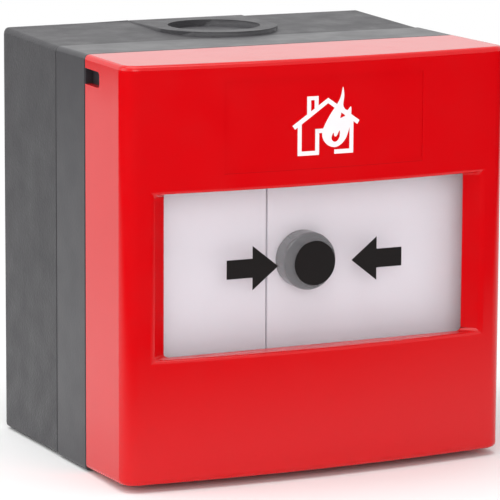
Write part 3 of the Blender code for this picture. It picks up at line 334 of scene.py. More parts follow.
def solder_mask(name, base):
    """Green lacquer over copper: the tracks lie under it as lighter lines, 2.5 mm apart."""
    material, tree, shader, place = new_finish(name, base, IOR=1.5)
    spacing = 2.5 * MM
    tracks = add_node(tree, "ShaderNodeTexWave", {"Scale": math.pi / (10.0 * spacing), "Distortion": 6.0,
                                                  "Detail": 0.0, "Detail Scale": 0.4}, {"Vector": place},
                      wave_type="BANDS", bands_direction="X")
    ramp = add_node(tree, "ShaderNodeValToRGB", links={"Fac": tracks.outputs["Fac"]})
    track_gain = 1.7
    track = [min(1.0, c * track_gain) for c in base]
    for stop, (position, tint) in zip(ramp.color_ramp.elements, ((0.80, base), (0.86, track))):
        stop.position = position
        stop.color = (*tint, 1.0)
    tree.links.new(ramp.outputs["Color"], shader.inputs["Base Color"])
    vary_roughness(tree, shader, place, period=5.0 * MM, low=0.25, high=0.38)
    return material


def banded_lacquer(name, base):
    """Resistor lacquer: a glossy tan body with painted code bands, and tinned leads at both ends."""
    material, tree, shader, place = new_finish(name, base, IOR=1.5)
    parts = add_node(tree, "ShaderNodeSeparateXYZ", links={"Vector": place})
    size = add_node(tree, "ShaderNodeMath", links={0: parts.outputs["X"]}, operation="ABSOLUTE")
    ends = (13.5 * MM, 24.5 * MM)
    along = add_node(tree, "ShaderNodeMapRange", {"From Min": ends[0], "From Max": ends[1]},
                     {"Value": size.outputs["Value"]})
    ramp = add_node(tree, "ShaderNodeValToRGB", links={"Fac": along.outputs["Result"]})
    ramp.color_ramp.interpolation = "CONSTANT"
    lead, brown, black = linear("B9BCBE"), linear("7A3B1A"), linear("1C1A19")
    red, gold = linear("B3261E"), linear("B08A3A")
    stops = ((0.0, lead), (0.21, base), (0.31, brown), (0.38, base), (0.45, black),
             (0.52, base), (0.59, red), (0.66, base), (0.72, gold), (0.79, lead))
    for position, _ in stops[1:-1]:
        ramp.color_ramp.elements.new(position)
    for stop, (position, tint) in zip(ramp.color_ramp.elements, stops):
        stop.position = position
        stop.color = (*tint, 1.0)
    tree.links.new(ramp.outputs["Color"], shader.inputs["Base Color"])
    vary_roughness(tree, shader, place, period=2.0 * MM, low=0.25, high=0.40)
    return material


def studio_floor(name, base):
    """White paper: it takes the object's soft shadow, and fades to plain white away from it."""
    material, tree, shader, place = new_finish(name, base, Roughness=0.9)
    middle = add_node(tree, "ShaderNodeVectorMath", links={0: place}, operation="LENGTH")
    away = add_node(tree, "ShaderNodeMapRange", {"From Min": SHADOW_FADE[0], "From Max": SHADOW_FADE[1]},
                    {"Value": middle.outputs["Value"]}, interpolation_type="SMOOTHSTEP")
    share = add_node(tree, "ShaderNodeMath", links={0: away.outputs["Result"], 1: seen_rays(tree)},
                     operation="MULTIPLY")
    white = add_node(tree, "ShaderNodeEmission")
    mix = add_node(tree, "ShaderNodeMixShader", links={0: share.outputs["Value"], 1: shader.outputs["BSDF"],
                                                       2: white.outputs["Emission"]})
    output = next(node for node in tree.nodes if node.type == "OUTPUT_MATERIAL")
    tree.links.new(mix.outputs["Shader"], output.inputs["Surface"])
    return material


def dark_surround(name):
    """Matt black card: it fades in with distance from its own middle, so its edge can't be made out."""
    dull = {"Roughness": 1.0, "Specular IOR Level": 0.0}
    material, tree, shader, place = new_finish(name, linear("101010"), **dull)
    middle = add_node(tree, "ShaderNodeVectorMath", links={0: place}, operation="LENGTH")
    fade = add_node(tree, "ShaderNodeMapRange", {"From Min": RING_FADE[0], "From Max": RING_FADE[1]},
                    {"Value": middle.outputs["Value"]}, interpolation_type="SMOOTHSTEP")
    tree.links.new(fade.outputs["Result"], shader.inputs["Alpha"])
    return material


def seen_rays(tree):
    """A value of 1 for rays from the camera, and for what gloss and clear pieces show."""
    path = add_node(tree, "ShaderNodeLightPath")
    seen = path.outputs["Is Camera Ray"]
    for kind in ("Is Glossy Ray", "Is Transmission Ray"):
        either = add_node(tree, "ShaderNodeMath", links={0: seen, 1: path.outputs[kind]}, operation="MAXIMUM")
        seen = either.outputs["Value"]
    return seen


def evaluated_mesh(item):
    """Turn an object with its modifiers into a plain mesh, and remove the object."""
    graph = bpy.context.evaluated_depsgraph_get()
    mesh = bpy.data.meshes.new_from_object(item.evaluated_get(graph))
    bpy.data.objects.remove(item, do_unlink=True)
    return mesh


def staged(name, data):
    """Add an object to the scene."""
    item = bpy.data.objects.new(name, data)
    bpy.context.scene.collection.objects.link(item)
    bpy.context.view_layer.update()
    return item


def placed(name, mesh, body, material, slot, *nodes):
    """Add a finished piece at the origin, with its material, its body and the nodes it stands for."""
    mesh.name = name
    if material is not None:
        mesh.materials.clear()
        mesh.materials.append(material)
    item = staged(name, mesh)
    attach(item, body)
    if nodes:
        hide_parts(*nodes)
    return item


def welded_copy(node):
    """Copy a CAD node as a welded form with whole flat faces."""
    form = bmesh.new()
    form.from_mesh(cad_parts[node].data)
    bmesh.ops.remove_doubles(form, verts=form.verts, dist=SOLID_WELD)
    bmesh.ops.dissolve_limit(form, angle_limit=FLAT, verts=form.verts[:], edges=form.edges[:])
    return form


def rounded(node, width, choose, segments=2, reshape=None):
    """Copy a node, move its points by a rule if one is given, and round its chosen edges in its own box."""
    form = welded_copy(node)
    if reshape:
        for vert in form.verts:
            vert.co += Vector(reshape(vert.co))
        form.normal_update()
        bmesh.ops.dissolve_limit(form, angle_limit=FLAT, verts=form.verts[:], edges=form.edges[:])
    weights = form.edges.layers.float.new("bevel_weight_edge")
    for edge in form.edges:
        if edge.is_manifold and edge.calc_face_angle(0.0) > ROUNDED_FROM:
            edge[weights] = float(choose(edge))
    mesh = bpy.data.meshes.new(node + "_form")
    form.to_mesh(mesh)
    form.free()
    mesh.shade_smooth()
    mesh.set_sharp_from_angle(angle=SHARP)
    item = staged(node + "_form", mesh)
    bevel = item.modifiers.new("rounding", "BEVEL")
    bevel.width = width
    bevel.segments = segments
    bevel.limit_method = "WEIGHT"
    bevel.use_clamp_overlap = False
    normals = item.modifiers.new("normals", "WEIGHTED_NORMAL")
    normals.keep_sharp = True
    made = evaluated_mesh(item)
    low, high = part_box(node)
    for vert in made.vertices:
        vert.co = [max(least, min(most, value)) for least, most, value in zip(low, high, vert.co)]
    return made


def long_edges(node, least):
    """Choose edges of at least a length, and the short ones that round a piece's own outer corners."""
    low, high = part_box(node)
    middle = (low + high) / 2.0
    half = (high - low) / 2.0

    def choose(edge):
        if edge.calc_length() > least:
            return True
        centre = (edge.verts[0].co + edge.verts[1].co) / 2.0 - middle
        return abs(centre.x) > half.x - CORNER_ZONE and abs(centre.z) > half.z - CORNER_ZONE

    return choose


def flat_prints(name, outlines, height):
    """Fill flat outlines of (x, z) in millimetres as thin plates. An outline's later loops are holes."""
    form = bmesh.new()
    for loops in outlines:
        curve = bpy.data.curves.new(name, "CURVE")
        curve.dimensions = "2D"
        curve.fill_mode = "BOTH"
        curve.extrude = height / 2.0
        for loop in loops:
            spline = curve.splines.new("POLY")
            spline.points.add(len(loop) - 1)
            spline.use_cyclic_u = True
            for point, (x, z) in zip(spline.points, loop):
                point.co = (x * MM, z * MM, 0.0, 1.0)
        form.from_mesh(evaluated_mesh(staged(name, curve)))
    bmesh.ops.remove_doubles(form, verts=form.verts, dist=PRINT_WELD)
    bmesh.ops.recalc_face_normals(form, faces=form.faces)
    bmesh.ops.rotate(form, verts=form.verts, matrix=Matrix.Rotation(math.pi / 2.0, 3, "X"))
    mesh = bpy.data.meshes.new(name)
    form.to_mesh(mesh)
    form.free()
    return mesh


def smooth_loop(points, steps=6):
    """Run a closed smooth curve through a few points."""
    count = len(points)
    loop = []
    for i in range(count):
        before, start, end, after = (Vector(points[(i + k) % count]) for k in (-1, 0, 1, 2))
        for step in range(steps):
            t = step / steps
            loop.append(tuple(0.5 * (2.0 * start + (end - before) * t
                                     + (2.0 * before - 5.0 * start + 4.0 * end - after) * t * t
                                     + (3.0 * start - before - 3.0 * end + after) * t ** 3)))
    return loop


def bar(left, right, low, high):
    """Outline an upright rectangle."""
    return [(left, low), (right, low), (right, high), (left, high)]


def node_group(name, inputs):
    """Start a geometry tree that takes points and named sizes and gives one mesh."""
    tree = bpy.data.node_groups.new(name, "GeometryNodeTree")
    tree.interface.new_socket("Points", in_out="INPUT", socket_type="NodeSocketGeometry")
    for label, kind in inputs.items():
        tree.interface.new_socket(label, in_out="INPUT", socket_type="NodeSocket" + kind)
    tree.interface.new_socket("Mesh", in_out="OUTPUT", socket_type="NodeSocketGeometry")
    return tree, add_node(tree, "NodeGroupInput").outputs


def end_group(tree, given, single):
    """Set turned copies of a form on the points, and end the tree with a plain mesh and its material."""
    spread = add_node(tree, "GeometryNodeInstanceOnPoints", links={
        "Points": given["Points"], "Instance": single, "Rotation": given["Turn"]})
    joined = add_node(tree, "GeometryNodeRealizeInstances", links={"Geometry": spread.outputs["Instances"]})
    painted = add_node(tree, "GeometryNodeSetMaterial", links={
        "Geometry": joined.outputs["Geometry"], "Material": given["Finish"]})
    add_node(tree, "NodeGroupOutput", links={"Mesh": painted.outputs["Geometry"]})
    return tree


def screw_tree():
    """Screws with a tapered head, a shank and a driver recess of one or two blades."""
    tree, given = node_group("screws", {
        "Head Radius": "Float", "Head Height": "Float", "Shank Radius": "Float", "Shank Length": "Float",
        "Blade Length": "Float", "Blade Width": "Float", "Cross Length": "Float", "Turn": "Rotation",
        "Finish": "Material"})
    top = add_node(tree, "ShaderNodeMath", {1: HEAD_TOP_SHARE}, {0: given["Head Radius"]},
                   operation="MULTIPLY")
    head = add_node(tree, "GeometryNodeMeshCone", {"Vertices": 28}, {
        "Radius Top": top.outputs["Value"], "Radius Bottom": given["Head Radius"],
        "Depth": given["Head Height"]})
    lift = add_node(tree, "ShaderNodeCombineXYZ", links={"Z": given["Head Height"]})
    blades = add_node(tree, "GeometryNodeJoinGeometry")
    for along, across in (("Blade Length", "Blade Width"), ("Blade Width", "Cross Length")):
        size = add_node(tree, "ShaderNodeCombineXYZ", links={
            "X": given[along], "Y": given[across], "Z": given["Head Height"]})
        cube = add_node(tree, "GeometryNodeMeshCube", links={"Size": size.outputs["Vector"]})
        moved = add_node(tree, "GeometryNodeTransform", links={
            "Geometry": cube.outputs["Mesh"], "Translation": lift.outputs["Vector"]})
        tree.links.new(moved.outputs["Geometry"], blades.inputs["Geometry"])
    cut = add_node(tree, "GeometryNodeMeshBoolean", {"Self Intersection": True}, {
        "Mesh 1": head.outputs["Mesh"], "Mesh 2": blades.outputs["Geometry"]}, operation="DIFFERENCE",
        solver="EXACT")
    shank = add_node(tree, "GeometryNodeMeshCylinder", {"Vertices": 16}, {
        "Radius": given["Shank Radius"], "Depth": given["Shank Length"]})
    half = add_node(tree, "ShaderNodeMath", {1: -0.5}, {0: given["Shank Length"]}, operation="MULTIPLY")
    drop = add_node(tree, "ShaderNodeCombineXYZ", links={"Z": half.outputs["Value"]})
    lowered = add_node(tree, "GeometryNodeTransform", links={
        "Geometry": shank.outputs["Mesh"], "Translation": drop.outputs["Vector"]})
    whole = add_node(tree, "GeometryNodeJoinGeometry", links={"Geometry": cut.outputs["Mesh"]})
    tree.links.new(lowered.outputs["Geometry"], whole.inputs["Geometry"])
    return end_group(tree, given, whole.outputs["Geometry"])


def spring_tree():
    """Compression springs: a round wire swept along a helix."""
    tree, given = node_group("springs", {
        "Radius": "Float", "Height": "Float", "Turns": "Float", "Wire Radius": "Float", "Wire Sides": "Int",
        "Turn": "Rotation", "Finish": "Material"})
    path = add_node(tree, "GeometryNodeCurveSpiral", {"Resolution": 40}, {
        "Rotations": given["Turns"], "Start Radius": given["Radius"], "End Radius": given["Radius"],
        "Height": given["Height"]})
    wire = add_node(tree, "GeometryNodeCurvePrimitiveCircle", links={
        "Resolution": given["Wire Sides"], "Radius": given["Wire Radius"]})
    sweep = add_node(tree, "GeometryNodeCurveToMesh", {"Fill Caps": True}, {
        "Curve": path.outputs["Curve"], "Profile Curve": wire.outputs["Curve"]})
    return end_group(tree, given, sweep.outputs["Mesh"])


def solder_tree():
    """Solder joints: small tapered beads."""
    tree, given = node_group("solder_joints", {"Radius": "Float", "Height": "Float", "Turn": "Rotation",
                                              "Finish": "Material"})
    tip = add_node(tree, "ShaderNodeMath", {1: SOLDER_TIP_SHARE}, {0: given["Radius"]}, operation="MULTIPLY")
    bead = add_node(tree, "GeometryNodeMeshCone", {"Vertices": 14}, {
        "Radius Top": tip.outputs["Value"], "Radius Bottom": given["Radius"], "Depth": given["Height"]})
    return end_group(tree, given, bead.outputs["Mesh"])


def grown(name, tree, points, **values):
    """Run a geometry tree on points and return its plain mesh. Values are named for the tree's inputs."""
    mesh = bpy.data.meshes.new(name)
    mesh.from_pydata(points, [], [])
    # The inputs are set before the object is linked, and so before it is first evaluated
    item = bpy.data.objects.new(name, mesh)
    grower = item.modifiers.new(name, "NODES")
    grower.node_group = tree
    for socket in tree.interface.items_tree:
        key = socket.name.replace(" ", "_").lower()
        if key in values:
            grower[socket.identifier] = values[key]
    bpy.context.scene.collection.objects.link(item)
    bpy.context.view_layer.update()
    made = evaluated_mesh(item)
    made.shade_smooth()
    made.set_sharp_from_angle(angle=SHARP)
    return made


def middles(nodes):
    """List the middle (x, z) of each node."""
    found = []
    for node in nodes:
        low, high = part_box(node)
        found.append(((low.x + high.x) / 2.0, (low.z + high.z) / 2.0))
    return found


def crown_sag(x, low, high):
    """How far the cover's crowned front falls back at a distance from its middle."""
    half = (high.x - low.x) / 2.0
    radius = (half ** 2 + COVER_CROWN ** 2) / (2.0 * COVER_CROWN)
    return radius - math.sqrt(radius ** 2 - x ** 2)


def tighter_corner(node):
    """Draw the long corners of a housing's solid out to a smaller radius."""
    low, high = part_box(node)
    old = SOLID_CORNER
    new = sizes().housing_corner
    inside = -0.01 * MM
    off_arc = 0.05 * MM

    def move(place):
        out = Vector((abs(place.x) - (high.x - old), abs(place.z) - (-low.z - old)))
        if min(out) < inside or abs(out.length - old) > off_arc:
            return Vector((0.0, 0.0, 0.0))
        step = (old - new) * (Vector((1.0, 1.0)) - out / old)
        return Vector((math.copysign(step.x, place.x), 0.0, math.copysign(step.y, place.z)))

    return move


def numbered(name, count):
    """Names of a set of like nodes."""
    return [name + "_" + str(i) for i in range(1, count + 1)]


class CALLPOINT_OT_cover(bpy.types.Operator):
    """Dress the red cover, with its rim and the edges of its window rounded"""
    bl_idname = "callpoint.cover"
    bl_label = "Cover"

    def execute(self, context):
        pane_low, pane_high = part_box("element_pane")
        front = pane_low.y
        centre = (pane_low.z + pane_high.z) / 2.0
        low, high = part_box("front_cover")
        given = sizes()
        clear_of_pane = 0.6 * MM
        end_band = 2.4 * MM
        side_band = 1.0 * MM
        front_band = 8.0 * MM
        level_slope = 0.3
        square_from = math.radians(60.0)
        rim_segments = 4

        def soft_edge(edge):
            middle = (edge.verts[0].co + edge.verts[1].co) / 2.0
            if abs(middle.x) < WINDOW_REACH_X and abs(middle.z - centre) < WINDOW_REACH_Z:
                ahead = middle.y < front - clear_of_pane
                return given.window_rounding / given.rim_rounding if ahead else 0.0
            at_end = min(middle.z - low.z, high.z - middle.z) < end_band
            at_outline = abs(middle.x) > high.x - side_band or middle.y < low.y + front_band
            level = abs(edge.verts[0].co.z - edge.verts[1].co.z) < level_slope * edge.calc_length()
            square = edge.calc_face_angle(0.0) > square_from
            return float(at_end and at_outline and level and square)

        mesh = rounded("front_cover", given.rim_rounding, soft_edge, rim_segments, self.drawn_in)
        placed("cover_shell", mesh, "cover", finish("gloss_red_abs"), "red_gloss", "front_cover")
        return {"FINISHED"}

    def drawn_in(self, place):
        """Square the rim for its rounding, and taper the bottom and the sides."""
        low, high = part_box("front_cover")
        rear = low.y + COVER_DEPTH
        share = min(1.0, (rear - place.y) / (rear - low.y))
        side_band = 0.4 * MM
        fade_rate = 1.4
        bottom_band = 1.2 * COVER_CHAMFER
        move = Vector((0.0, 0.0, 0.0))
        if abs(place.x) > high.x - side_band:
            move.x = -math.copysign(max(0.0, 1.0 - fade_rate * share) * SIDE_DRAW, place.x)
        if place.z < low.z + bottom_band:
            move.z = BOTTOM_LIFT_REAR + BOTTOM_LIFT_GAIN * share
        if abs(high.z - COVER_CHAMFER - abs(place.z)) < NEAR:
            move.z += math.copysign(COVER_CHAMFER, place.z)
        return move


class CALLPOINT_OT_sign(bpy.types.Operator):
    """Print a plain house with a flame on the cover's sign panel"""
    bl_idname = "callpoint.sign"
    bl_label = "Sign"

    def execute(self, context):
        line = 0.9
        flame = smooth_loop([(3.8, 37.8), (4.1, 36.0), (3.9, 33.9), (4.8, 32.9), (5.7, 33.6), (5.7, 31.4),
                             (5.4, 29.4), (4.6, 27.2), (3.4, 25.9), (2.0, 25.4), (0.4, 25.9), (-0.7, 27.2),
                             (-0.9, 28.6), (-0.4, 30.0), (0.9, 32.2), (2.4, 34.2), (3.3, 35.8)])
        ember = smooth_loop([(3.1, 28.8), (3.1, 27.5), (2.6, 26.7), (1.9, 26.5), (1.3, 27.0), (1.3, 27.7),
                             (1.7, 28.4), (1.9, 27.7), (2.4, 27.7)])
        spark = [(3.5, 32.7), (4.4, 31.8), (3.2, 31.3)]
        outlines = [
            [[(-7.7, 30.3), (-7.1, 29.5), (0.4, 34.6), (7.2, 29.9), (7.7, 30.7), (0.4, 35.7)]],
            [[(-4.4, 32.2), (-4.4, 36.2), (-1.8, 36.2), (-1.8, 34.0), (-2.7, 33.4), (-2.7, 35.4),
              (-3.5, 35.4), (-3.5, 32.8)]],
            [bar(-6.5, -6.5 + line, 24.0, 30.6)], [bar(-6.5, -1.6, 24.0, 24.0 + line)],
            [bar(-2.5, -2.5 + line, 24.0, 29.4)], [bar(-2.5, 0.0, 29.4 - line, 29.4)],
            [bar(6.3 - line, 6.3, 24.0, 30.9)], [bar(1.9, 6.3, 24.0, 24.0 + line)],
            [flame, spark, ember],
        ]
        height = sizes().print_height
        mesh = flat_prints("sign_print", outlines, height)
        self.follow_crown(mesh, height)
        placed("sign_print", mesh, "cover", finish("white_pad_print"), "white_plastic")
        return {"FINISHED"}

    def follow_crown(self, mesh, height):
        """Bend the flat print on to the crowned sign panel."""
        low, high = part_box("front_cover")
        form = bmesh.new()
        form.from_mesh(mesh)
        bmesh.ops.triangulate(form, faces=form.faces)
        bmesh.ops.subdivide_edges(form, edges=form.edges[:], cuts=2)
        for vert in form.verts:
            vert.co.y += low.y + PANEL_RECESS + crown_sag(vert.co.x, low, high) - height * PRINT_PROUD
        form.to_mesh(mesh)
        form.free()


class CALLPOINT_OT_housing(bpy.types.Operator):
    """Dress the back box and the chassis, with their moulded edges rounded"""
    bl_idname = "callpoint.housing"
    bl_label = "Box and chassis"

    def execute(self, context):
        width = sizes().edge_rounding
        shortest = 9.0 * MM
        low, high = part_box("back_box")
        top = high.z - PAD_RISE
        corner = tighter_corner("back_box")

        def grown_box(place):
            """Raise the box's top to the wall round its level pad, and press its bottom rounding flatter."""
            share = 1.0 + place.y / (high.y - low.y)
            over_hole = Vector((place.x, place.y - HOLE_CENTRE_Y)).length < HOLE_REACH
            rise = 0.0
            if place.z < top + NEAR and not over_hole:
                rise = TOP_SLOPE * share * max(0.0, 1.0 - (top - place.z) / SLOPE_FADE)
            if place.z < low.z + SLOPE_FADE:
                rise -= BOTTOM_SLOPE * share * (1.0 - (place.z - low.z) / SLOPE_FADE)
            return corner(place) + Vector((0.0, 0.0, rise))

        mesh = rounded("back_box", width, long_edges("back_box", shortest), reshape=grown_box)
        placed("box_shell", mesh, "base", finish("spark_textured_abs"), "black_textured", "back_box")
        mesh = rounded("chassis", width, long_edges("chassis", shortest), reshape=tighter_corner("chassis"))
        placed("chassis_tray", mesh, "base", finish("satin_black_abs"), "black_satin", "chassis")
        return {"FINISHED"}


class CALLPOINT_OT_pane(bpy.types.Operator):
    """Dress the clear push pane and print its arrows and its dot"""
    bl_idname = "callpoint.pane"
    bl_label = "Push pane"

    def execute(self, context):
        given = sizes()
        width = 0.2 * MM
        shortest = 5.0 * MM
        mesh = rounded("element_pane", width, long_edges("element_pane", shortest))
        placed("push_pane", mesh, "element", finish("clear_polycarbonate"), "clear_pane", "element_pane")
        low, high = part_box("element_pane")
        centre = (low.z + high.z) / 2.0 / MM
        shaft = given.arrow_shaft / MM / 2.0
        head = given.arrow_head / MM / 2.0
        tail, neck, tip = (value / MM for value in (given.arrow_tail, given.arrow_neck, given.arrow_tip))
        arrow = [(tail, -shaft), (tail, shaft), (neck, shaft), (neck, head), (tip, 0.0), (neck, -head),
                 (neck, -shaft)]
        right = [(x, z + centre) for x, z in arrow]
        left = [(-x, z + centre) for x, z in arrow]
        radius = given.dot_radius / MM
        half_turn = 32
        angles = [i * math.pi / half_turn for i in range(2 * half_turn)]
        dot = [(radius * math.cos(angle), centre + radius * math.sin(angle)) for angle in angles]
        height = given.print_height
        mesh = flat_prints("pane_print", [[right], [left], [dot]], height)
        mesh.transform(Matrix.Translation((0.0, low.y - height * PRINT_PROUD, 0.0)))
        placed("pane_print", mesh, "element", finish("black_screen_ink"), "black_satin")
        return {"FINISHED"}


class CALLPOINT_OT_mechanism(bpy.types.Operator):
    """Dress the frame, the hinged plate, the boss, the slider and the hinge pin"""
    bl_idname = "callpoint.mechanism"
    bl_label = "Mechanism"

    def execute(self, context):
        width = 0.15 * MM
        pin_width = 0.1 * MM
        shortest = 4.0 * MM
        rows = (
            ("element_frame", "frame_plate", "base", "gloss_white_abs", "white_plastic", width),
            ("actuator_plate", "hinged_plate", "actuator", "gloss_white_abs", "white_plastic", width),
            ("plunger", "push_boss", "actuator", "grey_acetal", "grey_plastic", width),
            ("reset_slider", "key_slider", "slider", "grey_acetal", "grey_plastic", width),
            ("hinge_pin", "plate_pin", "base", "zinc_plated_steel", "steel", pin_width),
        )
        for node, name, body, material, slot, rounding in rows:
            mesh = rounded(node, rounding, long_edges(node, shortest))
            placed(name, mesh, body, finish(material), slot, node)
        return {"FINISHED"}


class CALLPOINT_OT_electrics(bpy.types.Operator):
    """Dress the board, the switch, the terminals and the resistors, and add the solder joints"""
    bl_idname = "callpoint.electrics"
    bl_label = "Board and switch"

    def execute(self, context):
        width = 0.12 * MM
        shortest = 5.0 * MM
        rows = (
            ("circuit_board", "board_panel", "base", "solder_mask", "board"),
            ("terminal_block", "terminal_housing", "base", "green_polyamide", "green_plastic"),
            ("switch_body", "switch_case", "base", "satin_black_abs", "black_satin"),
            ("switch_lever", "switch_arm", "lever", "zinc_plated_steel", "steel"),
            ("switch_button", "switch_plunger", "button", "gloss_red_abs", "red_gloss"),
            ("resistor_1", "line_resistor", "base", "banded_lacquer", "resistor_lacquer"),
            ("resistor_2", "alarm_resistor", "base", "banded_lacquer", "resistor_lacquer"),
        )
        for node, name, body, material, slot in rows:
            mesh = rounded(node, width, long_edges(node, shortest))
            placed(name, mesh, body, finish(material), slot, node)
        for node in numbered("switch_terminal", 3):
            mesh = rounded(node, width, lambda edge: False)
            placed(node + "_pin", mesh, "base", finish("zinc_plated_steel"), "steel", node)
        board_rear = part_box("circuit_board")[1].y
        pins = [(x, board_rear, z) for x, z in middles(numbered("switch_terminal", 3))]
        mesh = grown("solder_joints", solder_tree(), pins, radius=0.95 * MM, height=0.8 * MM, turn=TO_REAR,
                     finish=finish("zinc_plated_steel"))
        placed("solder_joints", mesh, "base", None, "steel")
        return {"FINISHED"}


class CALLPOINT_OT_screws(bpy.types.Operator):
    """Set the chassis, frame, board and terminal screws, with their driver recesses"""
    bl_idname = "callpoint.screws"
    bl_label = "Screws"

    def execute(self, context):
        tree = screw_tree()
        sets = (
            ("chassis_screw", 2, 2.0 * MM, 1.45 * MM, TO_FRONT, True),
            ("frame_screw", 4, 1.1 * MM, 1.1 * MM, TO_FRONT, True),
            ("board_screw", 4, 1.2 * MM, 0.9 * MM, TO_FRONT, True),
            ("terminal_screw", 6, 1.0 * MM, 1.2 * MM, TO_REAR, False),
        )
        for name, count, rise, shank, turn, crossed in sets:
            nodes = numbered(name, count)
            low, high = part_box(nodes[0])
            radius = (high.x - low.x) / 2.0
            seat = low.y + rise if turn is TO_FRONT else high.y - rise
            reach = high.y - seat if turn is TO_FRONT else seat - low.y
            points = [(x, seat, z) for x, z in middles(nodes)]
            blade = radius * (CROSS_SHARE if crossed else SLOT_SHARE)
            narrow = radius * BLADE_SHARE
            mesh = grown(name + "s", tree, points, head_radius=radius, head_height=rise,
                         shank_radius=shank, shank_length=reach, blade_length=blade,
                         blade_width=narrow, cross_length=blade if crossed else narrow,
                         turn=turn, finish=finish("zinc_plated_steel"))
            placed(name + "s", mesh, "base", None, "steel", *nodes)
        return {"FINISHED"}


class CALLPOINT_OT_springs(bpy.types.Operator):
    """Wind the four pane springs and the return spring as fixed coils"""
    bl_idname = "callpoint.springs"
    bl_label = "Springs"

    def execute(self, context):
        tree = spring_tree()
        sides = sizes().coil_sides
        sets = (
            ("pane_coils", numbered("pane_spring", 4), 2.0 * MM, 0.2 * MM, 2.0),
            ("return_coil", ["return_spring"], 2.7 * MM, 0.35 * MM, 6.0),
        )
        for name, nodes, radius, wire, turns in sets:
            low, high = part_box(nodes[0])
            tall = high.y - low.y
            points = [(x, high.y - wire, z) for x, z in middles(nodes)]
            mesh = grown(name, tree, points, radius=radius, height=tall - 2.0 * wire, turns=turns,
                         wire_radius=wire, wire_sides=sides, turn=TO_FRONT, finish=finish("spring_steel"))
            item = placed(name, mesh, "base", None, "steel", *nodes)
            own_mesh(item)
        return {"FINISHED"}


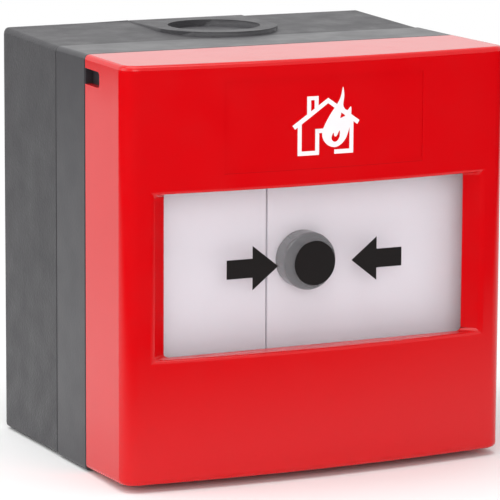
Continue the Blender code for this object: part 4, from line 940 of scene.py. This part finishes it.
class CALLPOINT_OT_stage(bpy.types.Operator):
    """Set the white floor, the soft lights, the room and the camera"""
    bl_idname = "callpoint.stage"
    bl_label = "Studio"

    def execute(self, context):
        scene = context.scene
        studio = scene.call_point_stage
        scene.view_settings.view_transform = "Standard"
        self.floor()
        self.room(scene, studio.sky_strength)
        for lamp in SOFTBOXES:
            self.softbox(*lamp)
        self.dark_ring()
        self.camera(scene, studio)
        return {"FINISHED"}

    def dark_ring(self):
        """A black card round the object that only reflections show, so that the red gloss stays deep."""
        form = bmesh.new()
        inner = bmesh.ops.create_circle(form, segments=ROUND_SIDES, radius=RING_INNER_RADIUS)
        outer = bmesh.ops.create_circle(form, segments=ROUND_SIDES, radius=FLOOR_RADIUS)
        edges = {edge for vert in inner["verts"] + outer["verts"] for edge in vert.link_edges}
        bmesh.ops.bridge_loops(form, edges=list(edges))
        mesh = bpy.data.meshes.new("dark_ring")
        form.to_mesh(mesh)
        form.free()
        mesh.materials.append(finish("dark_surround"))
        ring = staged("dark_ring", mesh)
        ring.location = (*RING_CENTRE, CAD_BOX[0].z + RING_LIFT)
        ring.visible_camera = False
        ring.visible_diffuse = False
        ring.visible_shadow = False

    def floor(self):
        """A round sheet of white paper under the object."""
        form = bmesh.new()
        bmesh.ops.create_circle(form, cap_ends=True, segments=ROUND_SIDES, radius=FLOOR_RADIUS)
        mesh = bpy.data.meshes.new("floor_sheet")
        form.to_mesh(mesh)
        form.free()
        mesh.materials.append(finish("studio_floor"))
        sheet = staged("floor_sheet", mesh)
        sheet.location = (AIM.x, AIM.y, CAD_BOX[0].z - FLOOR_DROP)

    def room(self, scene, strength):
        """An even room: plain white where it is seen or mirrored, and dimmer as a light."""
        world = bpy.data.worlds.new("white_room")
        world.use_nodes = True
        scene.world = world
        tree = world.node_tree
        tree.nodes.clear()
        level = add_node(tree, "ShaderNodeMapRange", {"To Min": strength, "To Max": 1.0},
                         {"Value": seen_rays(tree)})
        sky = add_node(tree, "ShaderNodeBackground", {"Color": (1.0, 1.0, 1.0, 1.0)},
                       {"Strength": level.outputs["Result"]})
        add_node(tree, "ShaderNodeOutputWorld", links={"Surface": sky.outputs["Background"]})

    def softbox(self, name, place, size, power):
        """A large soft lamp that faces the object."""
        lamp = bpy.data.lights.new(name, "AREA")
        lamp.shape = "RECTANGLE"
        lamp.size, lamp.size_y = size
        lamp.energy = power
        item = staged(name, lamp)
        item.location = place
        item.rotation_euler = (AIM - Vector(place)).to_track_quat("-Z", "Y").to_euler()

    def camera(self, scene, studio):
        """The camera at the photographed angle."""
        lens = bpy.data.cameras.new("studio_camera")
        lens.sensor_width = SENSOR_WIDTH
        lens.lens = studio.camera_lens
        lens.clip_start = NEAREST_SEEN
        turn, rise, roll = studio.camera_turn, studio.camera_rise, studio.camera_roll
        back = Vector((math.sin(turn) * math.cos(rise), -math.cos(turn) * math.cos(rise), math.sin(rise)))
        level = Vector((math.cos(turn), math.sin(turn), 0.0))
        upright = back.cross(level)
        right = level * math.cos(roll) + upright * math.sin(roll)
        up = upright * math.cos(roll) - level * math.sin(roll)
        item = staged("studio_camera", lens)
        facing = Matrix((right, up, back)).transposed().to_4x4()
        item.matrix_world = Matrix.Translation(studio.camera_place) @ facing
        scene.camera = item


class CALLPOINT_PT_panel(bpy.types.Panel):
    """Panel with one button for each piece or group of pieces"""
    bl_idname = "CALLPOINT_PT_panel"
    bl_label = "Manual call point"
    bl_space_type = "VIEW_3D"
    bl_region_type = "UI"
    bl_category = "Call point"

    def draw(self, context):
        for operator in OPERATORS:
            self.layout.operator(operator.bl_idname)
        for group in ("call_point_sizes", "call_point_colours", "call_point_stage"):
            held = getattr(context.scene, group)
            for name in held.bl_rna.properties.keys():
                if name not in ("rna_type", "name"):
                    self.layout.prop(held, name)


GROUPS = {
    "call_point_sizes": CallPointSizes,
    "call_point_colours": CallPointColours,
    "call_point_stage": CallPointStage,
}
OPERATORS = (
    CALLPOINT_OT_stage,
    CALLPOINT_OT_cover,
    CALLPOINT_OT_sign,
    CALLPOINT_OT_housing,
    CALLPOINT_OT_pane,
    CALLPOINT_OT_mechanism,
    CALLPOINT_OT_electrics,
    CALLPOINT_OT_screws,
    CALLPOINT_OT_springs,
)


def register():
    """Register the classes and hang the property groups on the scene."""
    for name, group in GROUPS.items():
        bpy.utils.register_class(group)
        setattr(bpy.types.Scene, name, PointerProperty(type=group))
    for piece in OPERATORS + (CALLPOINT_PT_panel,):
        bpy.utils.register_class(piece)


def unregister():
    """Take the classes and the property groups away again."""
    for piece in reversed(OPERATORS + (CALLPOINT_PT_panel,)):
        bpy.utils.unregister_class(piece)
    for name, group in GROUPS.items():
        delattr(bpy.types.Scene, name)
        bpy.utils.unregister_class(group)


def main():
    """Dress the call point by running each of its operators in turn."""
    register()
    for operator in OPERATORS:
        getattr(bpy.ops.callpoint, operator.bl_idname.split(".")[1])()


if __name__ == "__main__":
    main()
